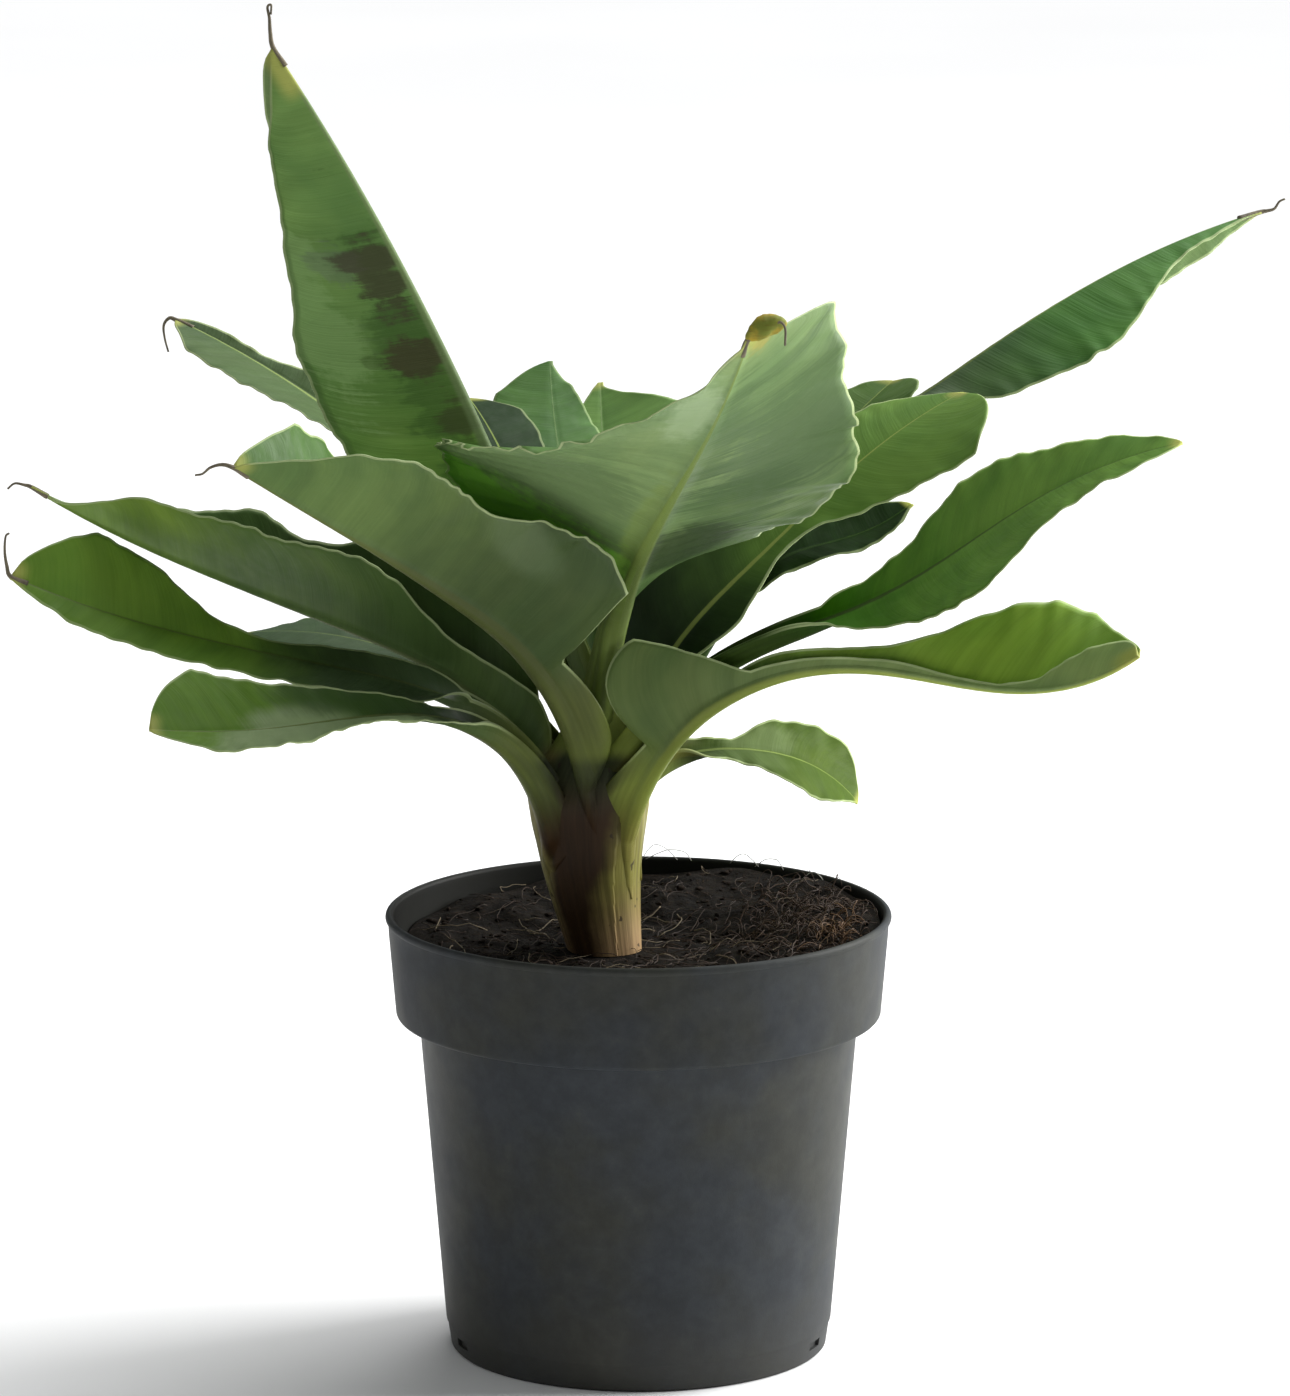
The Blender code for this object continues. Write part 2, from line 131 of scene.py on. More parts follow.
# The pseudostem as drawn, closing in a lobed dome among the stalks: half width, half depth and middle at
# even steps of height, and how far inside them it stays
STEM_FOOT = 112.3
STEM_TOP = 187.3
STEM_SIDES = 240
STEM_ROWS = 150
STEM_DRAWN = (
    (10.8, 11.86, 12.95, 14.1, 15.3, 16.6, 17.0, 13.6, 9.8, 7.5, 3.0),
    (10.4, 11.35, 12.2, 12.9, 13.5, 13.9, 14.0, 12.2, 9.6, 7.4, 3.0),
    (-9.3, -10.6, -11.8, -12.8, -13.3, -13.6, -13.5, -12.0, -11.2, -11.0, -11.0),
)
STEM_INSET = 0.5

# Free edges of sheaths round the stem: turn from the front at the foot and at the crown, which way the
# sheath lies, and how far its edge stands proud; then the height between the two turns, and how many
# degrees round it takes to sink back
SHEATH_EDGES = ((-58.0, -84.0, 1, 0.5), (20.0, 34.0, -1, 0.35), (150.0, 120.0, 1, 0.5))
SHEATH_EDGE_RISE = 52
SHEATH_EDGE_FADE = 40

# Leaves: the stalk, which is folded less and curled more where it clasps the stem, its root and sheath
STALK_FOLD = 34.0
STALK_CURL = 45.0
CLASP_REACH = 20.0
CLASP_FOLD = 0.4
CLASP_CURL = 40.0
ROOT_LENGTH = 14.0
SHEATH_DEPTH = 0.9  # where its lowest point lies, as a share of the stem's half width
SHEATH_TIP = 0.6  # its half width there
TAIL_HALF_WIDTH = 0.9

# Leaves: the blade, how much its width waves, and the groove over the midrib as a share of its keel
BLADE_THICKNESS = 0.55
BLADE_WAVES = 0.02
GROOVE_SHARE = 0.125

# Leaves: the veins; the left half's have LEFT_VEINS added, to tell them from the right half's
VEIN_SLANT = 0.30
VEIN_BEND = 0.22
VEIN_SPACING = 7.5
VEIN_SWELL = 0.06
LEFT_VEINS = 400

# Leaves: the mesh; each half has its first columns at these shares of the rib's half width
SHEATH_STEPS = 26
STALK_STEPS = 26
BLADE_STEPS = 130
HALF_COLUMNS = 16
RIB_COLUMNS = (0, 0.45, 0.9, 1.3)
MIDRIB_STEPS = 240

# A tint that changes nothing
PLAIN = (1.0, 1.0, 1.0)


def linear(*levels):
    """A colour given in the usual 0 to 255 values, as the linear values that the nodes want."""
    shares = [level / 255 for level in levels]
    return tuple(s / 12.92 if s <= 0.04045 else ((s + 0.055) / 1.055) ** 2.4 for s in shares)


@dataclass
class Half:
    """One half of a blade: its half width at even steps from foot to tip, and how it stands."""

    widths: tuple
    fold: tuple = (0, 0)  # how far it stands up, from foot to tip
    curl: float = 0  # the further bend from the midrib to the edge
    bites: tuple = ()  # place along the blade, depth and spread; a depth under 0 is a bulge
    tip: float = 0.14  # the share of the blade that rounds off to the tip


@dataclass
class Leaf:
    """A leaf's shape, as in the CAD model, and its looks."""

    name: str
    foot: tuple
    length: float
    stalk: float
    rise: tuple
    heading: tuple
    left: Half
    right: Half
    upper: tuple  # two colours, also for the under side: towards the stem, darker there as painted shade of the crown, and further out
    lower: tuple
    roll: tuple = (0,)
    tail: tuple = ()  # where the dry thread goes, from the tip
    sheath: tuple = ()  # its lowest height, and its place round the stem there
    stalk_colour: tuple = (112, 128, 66)
    stalk_width: float = 5.2  # half widths of the stalk: here, and where it clasps the stem
    clasp: float = 5.5
    flare: float = 0  # how far out it is widest
    pointed: bool = False
    merge: float = 20  # how far out it takes on the stem's colours
    shoulder: tuple = (0.10, 0.5)  # the blade's foot: its share of the length, and how blunt it is
    ruffle: float = 0.7
    frill: tuple = (0, 0)  # left and right
    marks: tuple = ()  # patches of the upper side, its own colours and painted shade: vein, across, half length, half width, colour, strength
    spots: tuple = ()  # patches of the under side, its own colours, painted shade, painted highlights and painted light glowing through
    ragged: float = 1.0  # how uneven the patches' borders are
    fade: tuple = (0.12, 0.72)  # where along the blade the first colour gives way to the second
    rib: float = 1.0  # how wide its pale rib is
    edge: float = 0.7  # how pale its edge is
    gloss: float = 0.14
    dry: float = 0.975  # where along the blade the dry tip begins
    curl_at_tip: bool = False


LEAVES = (
    Leaf(
        "tall_left", foot=(-12.5, 1.5, 179), length=203, stalk=40,
        rise=(73, 67, 62, 56), heading=(182, 176, 171),
        tail=((-0.7, 0, 4), (-0.9, 0, 8), (-1.4, 0, 11), (-0.4, 0, 11.6), (-0.5, 0, 9)),
        left=Half((36, 37, 39, 24, 8), fold=(-70, -60)),
        right=Half((21, 21, 20, 18, 16), fold=(-80, -78)),
        upper=((86, 120, 50), (91, 123, 67)), lower=((70, 96, 52), (100, 126, 80)), clasp=7,
        rib=3.9, fade=(0.3, 0.7), edge=0.5, dry=0.92, stalk_colour=(92, 110, 68), ragged=1.25,
        marks=(
            (132, -31, 38, 12, (116, 146, 88), 0.6), (100, -8, 55, 10, (50, 78, 30), 0.55),
            (136, -17, 8, 6, (88, 102, 78), 0.5), (131, -8, 12, 9, (62, 52, 42), 0.68),
            (106, -9, 6, 8, (62, 48, 38), 0.72), (87, -5, 8, 7, (56, 54, 34), 0.6),
            (108, -21, 2, 2.5, (60, 80, 36), 0.5),
        ),
    ),
    Leaf(
        "front_centre", foot=(-10.5, -5, 170), length=189, stalk=49,
        rise=(84, 40, 35, 54), heading=(289, 285, 295), roll=(-20, 20, -20),
        tail=((3, -1, 1), (6, -2, 3), (8, -2.5, 5), (9.5, -3, 3.5), (9.5, -3, -1)),
        left=Half((27, 41, 50, 43, 37), fold=(30, 10), bites=((0.985, 15, 0.02),), tip=0.05),
        right=Half((19, 54, 62, 40, 1), fold=(5, -5)),
        upper=((62, 98, 26), (70, 106, 40)), lower=((56, 84, 36), (104, 128, 84)), clasp=8,
        stalk_colour=(96, 112, 52), ruffle=1.4, frill=(0.0, 1.2), curl_at_tip=True, gloss=0.18,
        edge=0.85, fade=(0.1, 0.55), ragged=0.8,
        # Under side patches: the bright green band at vein 62 is painted light glowing through the blade,
        # the pale patch at vein 160 a painted highlight, the yellow-green strip on the rib and the yellowed
        # spot near the tip its own colour, and the other dull patches painted shade
        spots=(
            (100, 32, 26, 26, (90, 112, 70), 0.8), (125, -30, 34, 26, (84, 106, 68), 0.85),
            (160, 8, 16, 9, (146, 166, 124), 0.6), (62, 36, 15, 42, (112, 172, 56), 0.9),
            (92, 3, 34, 4, (126, 146, 66), 0.35), (184, -8, 6, 6, (150, 140, 66), 0.7),
            (142, -4, 32, 9, (70, 94, 54), 0.55), (152, -16, 22, 14, (84, 108, 68), 0.4),
            (98, -20, 24, 16, (60, 86, 44), 0.55), (76, -12, 16, 14, (30, 46, 20), 0.75),
        ),
    ),
    Leaf(
        "front_left", foot=(-14, -13.5, 160), length=171, stalk=40,
        rise=(78, 37, 30, 32), heading=(221, 230, 212), roll=(12, 0, 14),
        tail=((-3, 0, 0.8), (-6, 0, 0), (-8, 0, -1.6), (-10, 0, -2)),
        left=Half((32, 41, 30, 33, 16), fold=(38, 52), curl=-5),
        right=Half((22, 26, 31, 27, 17), fold=(16, 60), curl=-5),
        upper=((50, 76, 30), (66, 100, 40)), lower=((60, 76, 44), (84, 108, 60)), clasp=11,
        stalk_width=6.8, rib=1.7, stalk_colour=(84, 92, 46), flare=18, pointed=True,
        # Its one under side spot, pale grey-green, is a painted highlight
        fade=(0.42, 1.05), merge=22, spots=((76, -27, 14, 7, (96, 112, 80), 0.4),), ragged=0.3,
    ),
    Leaf(
        "left_middle", foot=(-24.5, -0.5, 150.5), length=175, stalk=13,
        rise=(77, 29, 22, 31), heading=(189, 182, 178), roll=(-30, 20, -5),
        tail=((-2, 0, 0.6), (-4.5, 0, 1), (-6.5, 0, -0.5)),
        left=Half((16, 11, 31, 27, 4), fold=(90, 40), bites=((0.93, 5, 0.05), (0.42, -4, 0.09))),
        right=Half(
            (17, 22, 18, 16, 4), fold=(65, 30), bites=((0.93, 3, 0.05), (0.62, -5, 0.06), (0.42, -6, 0.07))
        ),
        upper=((56, 78, 38), (64, 96, 40)), lower=((65, 87, 43), (97, 125, 48)), clasp=6.5,
        stalk_width=5.6, stalk_colour=(78, 90, 46), sheath=(134, 184), fade=(0.6, 1.05), edge=0.45,
    ),
    Leaf(
        "left_low", foot=(-24, -6, 155), length=168, stalk=37,
        rise=(68, 18, 14, 24), heading=(204, 185, 179), roll=(5, 5, 25),
        tail=((-1, 0, 3), (-1.5, 0, 7), (-1.2, 0, 11), (-0.2, 0, 12)),
        left=Half((13, 17, 13, 9, 4), fold=(0, -25)),
        right=Half((10, 9, 6, 20, 22), fold=(25, 35), curl=5),
        upper=((52, 70, 42), (94, 128, 46)), lower=((50, 66, 38), (69, 94, 44)), clasp=6,
        fade=(0.42, 0.7), rib=0.7, edge=0.45, stalk_colour=(80, 92, 46), sheath=(136, 205),
    ),
    Leaf(
        "left_lowest", foot=(-24.5, -10, 148), length=148, stalk=42,
        rise=(76, 21, 0, 7), heading=(219, 223, 192), roll=(0, 15, 10),
        left=Half((1, 1, 6, 14, 14), fold=(0, 5)),
        right=Half((4, 7, 12, 18, 26), fold=(20, 30), curl=5),
        upper=((36, 54, 26), (78, 112, 30)), lower=((70, 88, 52), (124, 145, 94)), clasp=7.5,
        fade=(0.3, 0.85), rib=0.6, ragged=0.35, stalk_colour=(88, 98, 50), sheath=(128, 198),
        # The pale patches are the under side's colour where the blade turns over; the dark green one at
        # across 9 is painted shade on the far half
        marks=(
            (112, -6, 16, 12, (128, 146, 104), 0.9), (88, -3, 24, 6, (128, 146, 104), 0.9),
            (104, 1, 16, 6, (128, 146, 104), 0.9), (80, 9, 26, 8, (44, 66, 28), 0.8),
        ),
    ),
    Leaf(
        "left_far", foot=(-20, 4.5, 162), length=186, stalk=77,
        rise=(102, 43, 29, 19), heading=(160, 147, 153),
        tail=((-2, 0, 0.6), (-3.6, 0, -1.4), (-3.4, 0, -5), (-2.4, 0, -9)),
        left=Half((9, 18, 24, 22, 10), fold=(30, -5)),
        right=Half((17, 15, 12, 4, 6), fold=(25, 30)),
        upper=((44, 62, 32), (60, 82, 44)), lower=((56, 72, 44), (66, 80, 56)), clasp=4.5,
        sheath=(142, 165),
    ),
    Leaf(
        "left_tucked", foot=(-21, 8, 161.5), length=105, stalk=33,
        rise=(55, 25, 9, -10), heading=(156, 161, 162),
        left=Half((1, 7, 16, 13, 4), fold=(-5, -10)),
        right=Half((14, 17, 17, 16, 13), fold=(30, -5)),
        upper=((50, 70, 42), (62, 86, 54)), lower=((62, 80, 52), (84, 102, 72)),
        shoulder=(0.3, 0.9), sheath=(134, 140), rib=0.5, edge=0.35,
    ),
    Leaf(
        "right_high", foot=(-3, 7.5, 177), length=240, stalk=115,
        rise=(63, 36, 28, 11), heading=(26, 22, 27), roll=(-5, 5, 17),
        tail=((2, 0, 0.4), (4, 0, 1), (5.4, 0, 3), (7, 0, 3.8)),
        left=Half((7, 13, 14, 10, 3), fold=(-60, -70)),
        right=Half((5, 18, 22, 7, 1), fold=(-48, -41)),
        upper=((64, 84, 58), (68, 112, 50)), lower=((80, 104, 62), (100, 126, 80)),
        fade=(0.25, 0.6), shoulder=(0.2, 0.8),
        marks=((143, -5, 7, 3.5, (66, 50, 44), 0.75), (133, -2, 5, 2, (66, 50, 44), 0.6)),
    ),
    Leaf(
        "right_middle", foot=(-1, -3, 164.5), length=143, stalk=19,
        rise=(88, 47, 41, 21), heading=(5, 11, 28), roll=(-10, -15, 15),
        left=Half((24, 23, 16, 22, 26), fold=(20, 10)),
        right=Half((1, 10, 5, 26, 51), fold=(-50, -5)),
        upper=((13, 31, 5), (92, 128, 54)), lower=((60, 84, 42), (104, 132, 80)), clasp=8,
        fade=(0.25, 0.8), stalk_colour=(128, 142, 66), sheath=(132, 352),
    ),
    Leaf(
        "right_tucked", foot=(0.5, 2, 174), length=112, stalk=42,
        rise=(46, 52, 6, 23), heading=(17, 32, 45),
        left=Half((6, 7, 8, 8, 7), fold=(30, 35)),
        right=Half((6, 6, 7, 6, 2), fold=(-30, -15)),
        # Nearly black green, stalk too: painted shade, where it lies tucked among the other leaves
        upper=((12, 26, 6), (18, 36, 10)), lower=((20, 36, 12), (36, 54, 24)),
        gloss=0.02, edge=0.25, stalk_colour=(34, 52, 20),
    ),
    Leaf(
        "right_long", foot=(-1.5, -11.5, 172), length=182, stalk=64,
        rise=(52, 24, 36, 14), heading=(-27, -20, -7), roll=(0, -20, 0),
        left=Half((7, 12, 27, 20, 12), fold=(25, 10)),
        right=Half((1, 20, 37, 21, 17), fold=(-5, 0)),
        upper=((44, 90, 4), (82, 117, 48)), lower=((40, 64, 24), (80, 110, 50)),
        stalk_colour=(50, 68, 26), gloss=0.05,
    ),
    Leaf(
        "right_low", foot=(-3.5, -8, 145.5), length=182, stalk=30,
        rise=(70, 29, -6, 36), heading=(310, 338, 327), roll=(-5, -5, 30),
        left=Half((1, 7, 8, 29, 22), fold=(85, 50), curl=5),
        right=Half((48, 5, 4, 3, 22), fold=(90, 110), curl=5),
        upper=((48, 76, 20), (116, 147, 56)), lower=((78, 97, 54), (126, 146, 94)), clasp=13,
        stalk_width=6, stalk_colour=(128, 140, 62), sheath=(128, 322), dry=0.95,
    ),
    Leaf(
        "right_drooping", foot=(-3, 8, 152.5), length=80, stalk=20,
        rise=(52, 4, -19, -52), heading=(27, 25, 21), roll=(0, -15, -20),
        left=Half((10, 4, 12, 16, 11), fold=(15, 25), curl=5),
        right=Half((6, 6, 13, 13, 4), fold=(-10, -15)),
        upper=((48, 64, 26), (68, 88, 28)), lower=((50, 66, 40), (64, 84, 48)), clasp=7,
        gloss=0.04, rib=0.6, sheath=(126, 35), shoulder=(0.25, 0.8), ragged=0.5,
        marks=((44, -5, 11, 6, (116, 132, 88), 0.4), (40, 4, 12, 4, (104, 122, 74), 0.3)),
    ),
    Leaf(
        "back_left", foot=(-10, 12, 173.5), length=140, stalk=48,
        rise=(63, 44, 27, 26), heading=(106, 99, 92),
        left=Half((15, 16, 17, 18, 13), fold=(5, -10)),
        right=Half((18, 17, 15, 9, 2)),
        upper=((52, 85, 35), (62, 99, 43)), lower=((80, 104, 60), (104, 132, 84)),
        shoulder=(0.25, 0.8), rib=0.4, edge=0.3, dry=1.2, stalk_colour=(82, 106, 60),
    ),
    Leaf(
        "back_right", foot=(-9.5, 12.5, 165), length=174, stalk=52,
        rise=(60, 36, 12, 20), heading=(85, 92, 91),
        left=Half((19, 16, 13, 9, 5), fold=(0, -10)),
        right=Half((26, 32, 34, 26, 1), fold=(25, 15), curl=5),
        upper=((64, 97, 41), (81, 116, 54)), lower=((80, 104, 60), (104, 132, 84)), clasp=9,
        sheath=(138, 66), shoulder=(0.2, 0.8), rib=0.5, edge=0.35, stalk_colour=(88, 110, 62),
    ),
    Leaf(
        "back_outer_left", foot=(-18, 12, 170), length=124, stalk=60,
        rise=(97, 51, 33, 15), heading=(122, 112, 110),
        left=Half((10, 12, 14, 14, 13)),
        right=Half((10, 12, 13, 14, 11)),
        # Its upper side is dark green as painted shade
        upper=((20, 36, 16), (30, 50, 26)), lower=((60, 80, 46), (80, 104, 66)),
        gloss=0.06, shoulder=(0.25, 0.8), rib=0.5, edge=0.3,
    ),
    Leaf(
        "back_outer_right", foot=(-1.5, 11, 170), length=142, stalk=62,
        rise=(68, 37, 35, 21), heading=(50, 45, 52),
        left=Half((14, 14, 14, 13, 13), fold=(0, 5)),
        right=Half((12, 15, 17, 19, 22), fold=(10, 20)),
        upper=((50, 76, 32), (68, 98, 42)), lower=((80, 104, 60), (100, 126, 78)),
        shoulder=(0.25, 0.8), rib=0.6, edge=0.4,
    ),
    Leaf(
        "back_low", foot=(-12, 11, 159), length=122, stalk=50,
        rise=(31, 17, 2, -11), heading=(85, 89, 90),
        left=Half((10, 12, 13, 12, 11), fold=(10, 0)),
        right=Half((10, 12, 13, 12, 11), fold=(10, 0)),
        upper=((44, 70, 24), (66, 100, 38)), lower=((70, 92, 52), (96, 120, 76)),
        shoulder=(0.3, 0.9), clasp=8, sheath=(126, 100),
    ),
)


def keyed(values, along):
    """A smooth curve through evenly spaced values, read at fractions from 0 to 1."""
    values = np.asarray(values, float)
    spans = len(values) - 1
    if spans == 0:
        return np.full(np.shape(along), values[0])
    slopes = np.gradient(values)
    spot = np.clip(along, 0, 1) * spans
    first = np.minimum(spot.astype(int), spans - 1)
    t = spot - first
    return (
        (2 * t**3 - 3 * t**2 + 1) * values[first]
        + (t**3 - 2 * t**2 + t) * slopes[first]
        + (3 * t**2 - 2 * t**3) * values[first + 1]
        + (t**3 - t**2) * slopes[first + 1]
    )


def keyed_path(knots, along):
    """Points on a smooth curve through evenly spaced knots."""
    return np.stack([keyed([knot[axis] for knot in knots], along) for axis in range(3)], -1)


def smooth_step(low, high, value):
    """Smoothly from 0 to 1 as the value goes from low to high, either of which may be the greater."""
    t = np.clip((value - low) / (high - low), 0, 1)
    return t * t * (3 - 2 * t)


def half_turn(angle):
    """The same direction as an angle from -180 to 180."""
    return (angle + 180) % 360 - 180


def waves(random, along, length, octaves=3):
    """A smooth random curve of about unit height, its longest wave about that length."""
    total = np.zeros(np.shape(along))
    for octave in range(octaves):
        step = length / 2**octave
        phases = random.uniform(0, math.tau, 3)
        pitches = random.uniform(0.8, 1.25, 3)
        for phase, pitch in zip(phases, pitches):
            total = total + np.sin(along * math.tau * pitch / step + phase) / 3 / 1.6**octave
    return total


# ---- meshes


def link(thing):
    """Puts an object in the scene, and gives it back."""
    bpy.context.scene.collection.objects.link(thing)
    return thing


def add_piece(piece, slot, *nodes):
    """Puts a piece in the scene, riding on the one body, in the place of its CAD nodes."""
    link(piece)
    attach(piece, "root")
    if nodes:
        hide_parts(*nodes)


def mesh_object(name, points, faces, *materials):
    """A smooth mesh object with its faces turned outward, from points in millimetres."""
    data = bpy.data.meshes.new(name)
    data.from_pydata([tuple(p) for p in np.asarray(points) * MM], [], faces)
    mesh = bmesh.new()
    mesh.from_mesh(data)
    bmesh.ops.recalc_face_normals(mesh, faces=mesh.faces)
    mesh.to_mesh(data)
    mesh.free()
    data.shade_smooth()
    for material in materials:
        data.materials.append(material)
    return bpy.data.objects.new(name, data)


def joined(name, parts, material):
    """One mesh object from several lists of points and faces."""
    points, faces, start = [], [], 0
    for part_points, part_faces in parts:
        points.append(part_points)
        faces += [tuple(index + start for index in face) for face in part_faces]
        start += len(part_points)
    return mesh_object(name, np.concatenate(points), faces, material)


def keep_measures(piece, measures):
    """Keeps numbers on the points of a mesh, for its material to read."""
    for name, values in measures.items():
        layer = piece.data.attributes.new(name, "FLOAT", "POINT")
        layer.data.foreach_set("value", values.astype(np.float32))


def ring_faces(rings, sides):
    """The faces of a closed tube of rings of points, with its two ends."""
    faces = []
    for r in range(rings - 1):
        for k in range(sides):
            a, b = r * sides + k, r * sides + (k + 1) % sides
            faces.append((a, b, b + sides, a + sides))
    last = (rings - 1) * sides
    return faces + [tuple(reversed(range(sides))), tuple(range(last, last + sides))]


def tube(points, radii, sides=8):
    """A closed tapering tube through points, as lists of points and faces."""
    points = np.asarray(points, float)
    tangents = np.gradient(points, axis=0)
    tangents /= np.linalg.norm(tangents, axis=1)[:, None]
    angles = np.arange(sides)[:, None] * math.tau / sides
    normal = np.cross(tangents[0], (0.3, 0.5, 0.81))  # any direction that no tube starts in
    rings = []
    for point, tangent, radius in zip(points, tangents, radii):
        normal = normal - tangent * np.dot(normal, tangent)
        normal = normal / np.linalg.norm(normal)
        other = np.cross(tangent, normal)
        rings.append(point + radius * (np.cos(angles) * normal + np.sin(angles) * other))
    return np.concatenate(rings), ring_faces(len(rings), sides)


def turned(profile, steps):
    """A profile of radius and height turned round the Z axis, as one closed mesh."""
    angles = np.arange(steps) * math.tau / steps
    points, faces, rows = [], [], []
    for radius, height in profile:
        if radius == 0:
            rows.append([len(points)] * steps)
            points.append((0, 0, height))
        else:
            rows.append(list(range(len(points), len(points) + steps)))
            points += [(radius * math.cos(a), radius * math.sin(a), height) for a in angles]
    for low, high in zip(rows, rows[1:]):
        for k in range(steps):
            after = (k + 1) % steps
            faces.append(tuple(dict.fromkeys((low[k], low[after], high[after], high[k]))))
    return np.array(points, float), faces


def arc(centre, radius, start, end, steps):
    """Points of a profile on part of a circle."""
    angles = np.radians(np.linspace(start, end, steps))
    return [(centre[0] + radius * math.cos(a), centre[1] + radius * math.sin(a)) for a in angles]


# ---- leaf shapes


def frame_from(rise, heading, roll):
    """The tangent, side and upper directions of a leaf from its angles in radians."""
    flat = np.cos(rise)
    tangent = np.stack((np.cos(heading) * flat, np.sin(heading) * flat, np.sin(rise)), -1)
    level = np.stack((np.sin(heading), -np.cos(heading), np.zeros_like(heading)), -1)
    normal = np.cross(level, tangent)
    roll = roll[:, None]
    side = np.cos(roll) * level + np.sin(roll) * normal
    upper = np.cos(roll) * normal - np.sin(roll) * level
    return tangent, side, upper


def directions(leaf, along):
    """The leaf's tangent, side and upper directions at shares of its length."""
    angles = (np.radians(keyed(values, along)) for values in (leaf.rise, leaf.heading, leaf.roll))
    return frame_from(*angles)


def midrib(leaf, along):
    """Points on the midrib, from the foot out, by adding up short steps along its tangent."""
    fine = np.linspace(0, 1, MIDRIB_STEPS + 1)
    tangent = directions(leaf, fine)[0]
    steps = (tangent[1:] + tangent[:-1]) / 2 * leaf.length / MIDRIB_STEPS
    path = np.vstack((np.zeros(3), np.cumsum(steps, 0))) + np.array(leaf.foot, float)
    return np.stack([np.interp(along, fine, path[:, axis]) for axis in range(3)], -1)


def stalk_half_width(leaf, distance):
    """The stalk's half width, which is greatest at the flare, near the stem."""
    near = np.exp(-(((distance - leaf.flare) / CLASP_REACH) ** 2))
    width = leaf.stalk_width + (leaf.clasp - leaf.stalk_width) * near
    return width * smooth_step(-4, 15, distance) ** 0.7 if leaf.pointed else width


def half_width(leaf, half, blade, distance):
    """The blade's half width, with a round foot and tip; the stalk widens towards the stem."""
    share, bluntness = leaf.shoulder
    ease = np.clip(blade / share, 0, 1) ** bluntness * np.sqrt(np.clip((1 - blade) / half.tip, 0, 1))
    stalk = leaf.stalk_width + (TAIL_HALF_WIDTH - leaf.stalk_width) * smooth_step(0, 1, blade)
    stalk = stalk + (stalk_half_width(leaf, distance) - leaf.stalk_width) * (blade < 0.2)
    width = np.maximum(keyed(half.widths, blade), 0) * ease
    for middle, depth, spread in half.bites:
        width = width - depth * np.exp(-(((blade - middle) / spread) ** 2))
    return np.maximum(width, stalk)


def stem_at(height):
    """Middle, half width and half depth of the CAD pseudostem at a height."""
    heights, wide, deep, middle = STEM_RINGS
    return [np.interp(height, heights, values) for values in (middle, wide, deep)]


def sheath_stations(leaf):
    """The leaf's sheath, from its lowest point up to the foot of the stalk, wrapped round the stem."""
    bottom, azimuth = leaf.sheath
    t = np.linspace(0, 1, SHEATH_STEPS, endpoint=False)
    climbed, opened = smooth_step(0, 1, t), smooth_step(0.5, 1, t)
    height = bottom + (leaf.foot[2] - bottom) * t
    middle, wide, deep = stem_at(height)
    foot_middle, foot_wide, foot_deep = stem_at(leaf.foot[2])
    x, y = (leaf.foot[0] - foot_middle) / foot_wide, leaf.foot[1] / foot_deep
    foot_azimuth = math.degrees(math.atan2(y, x)) % 360
    theta = np.radians(azimuth + half_turn(foot_azimuth - azimuth) * climbed)
    reach = SHEATH_DEPTH + (math.hypot(x, y) - SHEATH_DEPTH) * climbed
    path = np.stack((middle + wide * reach * np.cos(theta), deep * reach * np.sin(theta), height), -1)
    heading = theta[0] + np.radians(half_turn(leaf.heading[0] - math.degrees(theta[0]))) * climbed
    rise = np.radians(90 + (leaf.rise[0] - 90) * opened)
    side, upper = frame_from(rise, heading, opened * math.radians(leaf.roll[0]))[1:]
    width = SHEATH_TIP + (stalk_half_width(leaf, 0.0) - SHEATH_TIP) * climbed**0.8
    curl = np.degrees(width / ((wide + deep) / 2 * reach))
    curl = curl + (STALK_CURL + CLASP_CURL - curl) * opened
    return path, side, upper, width, STALK_FOLD * CLASP_FOLD * opened, curl


def root_stations(leaf):
    """The hidden foot of an inner leaf, straight down into the crown."""
    back = np.linspace(-ROOT_LENGTH, 0, SHEATH_STEPS, endpoint=False)
    start = np.zeros(SHEATH_STEPS)
    tangent, side, upper = directions(leaf, start)
    path = np.array(leaf.foot, float) + tangent * back[:, None]
    width = start + stalk_half_width(leaf, 0.0)
    return path, side, upper, width, start + STALK_FOLD * CLASP_FOLD, start + STALK_CURL + CLASP_CURL


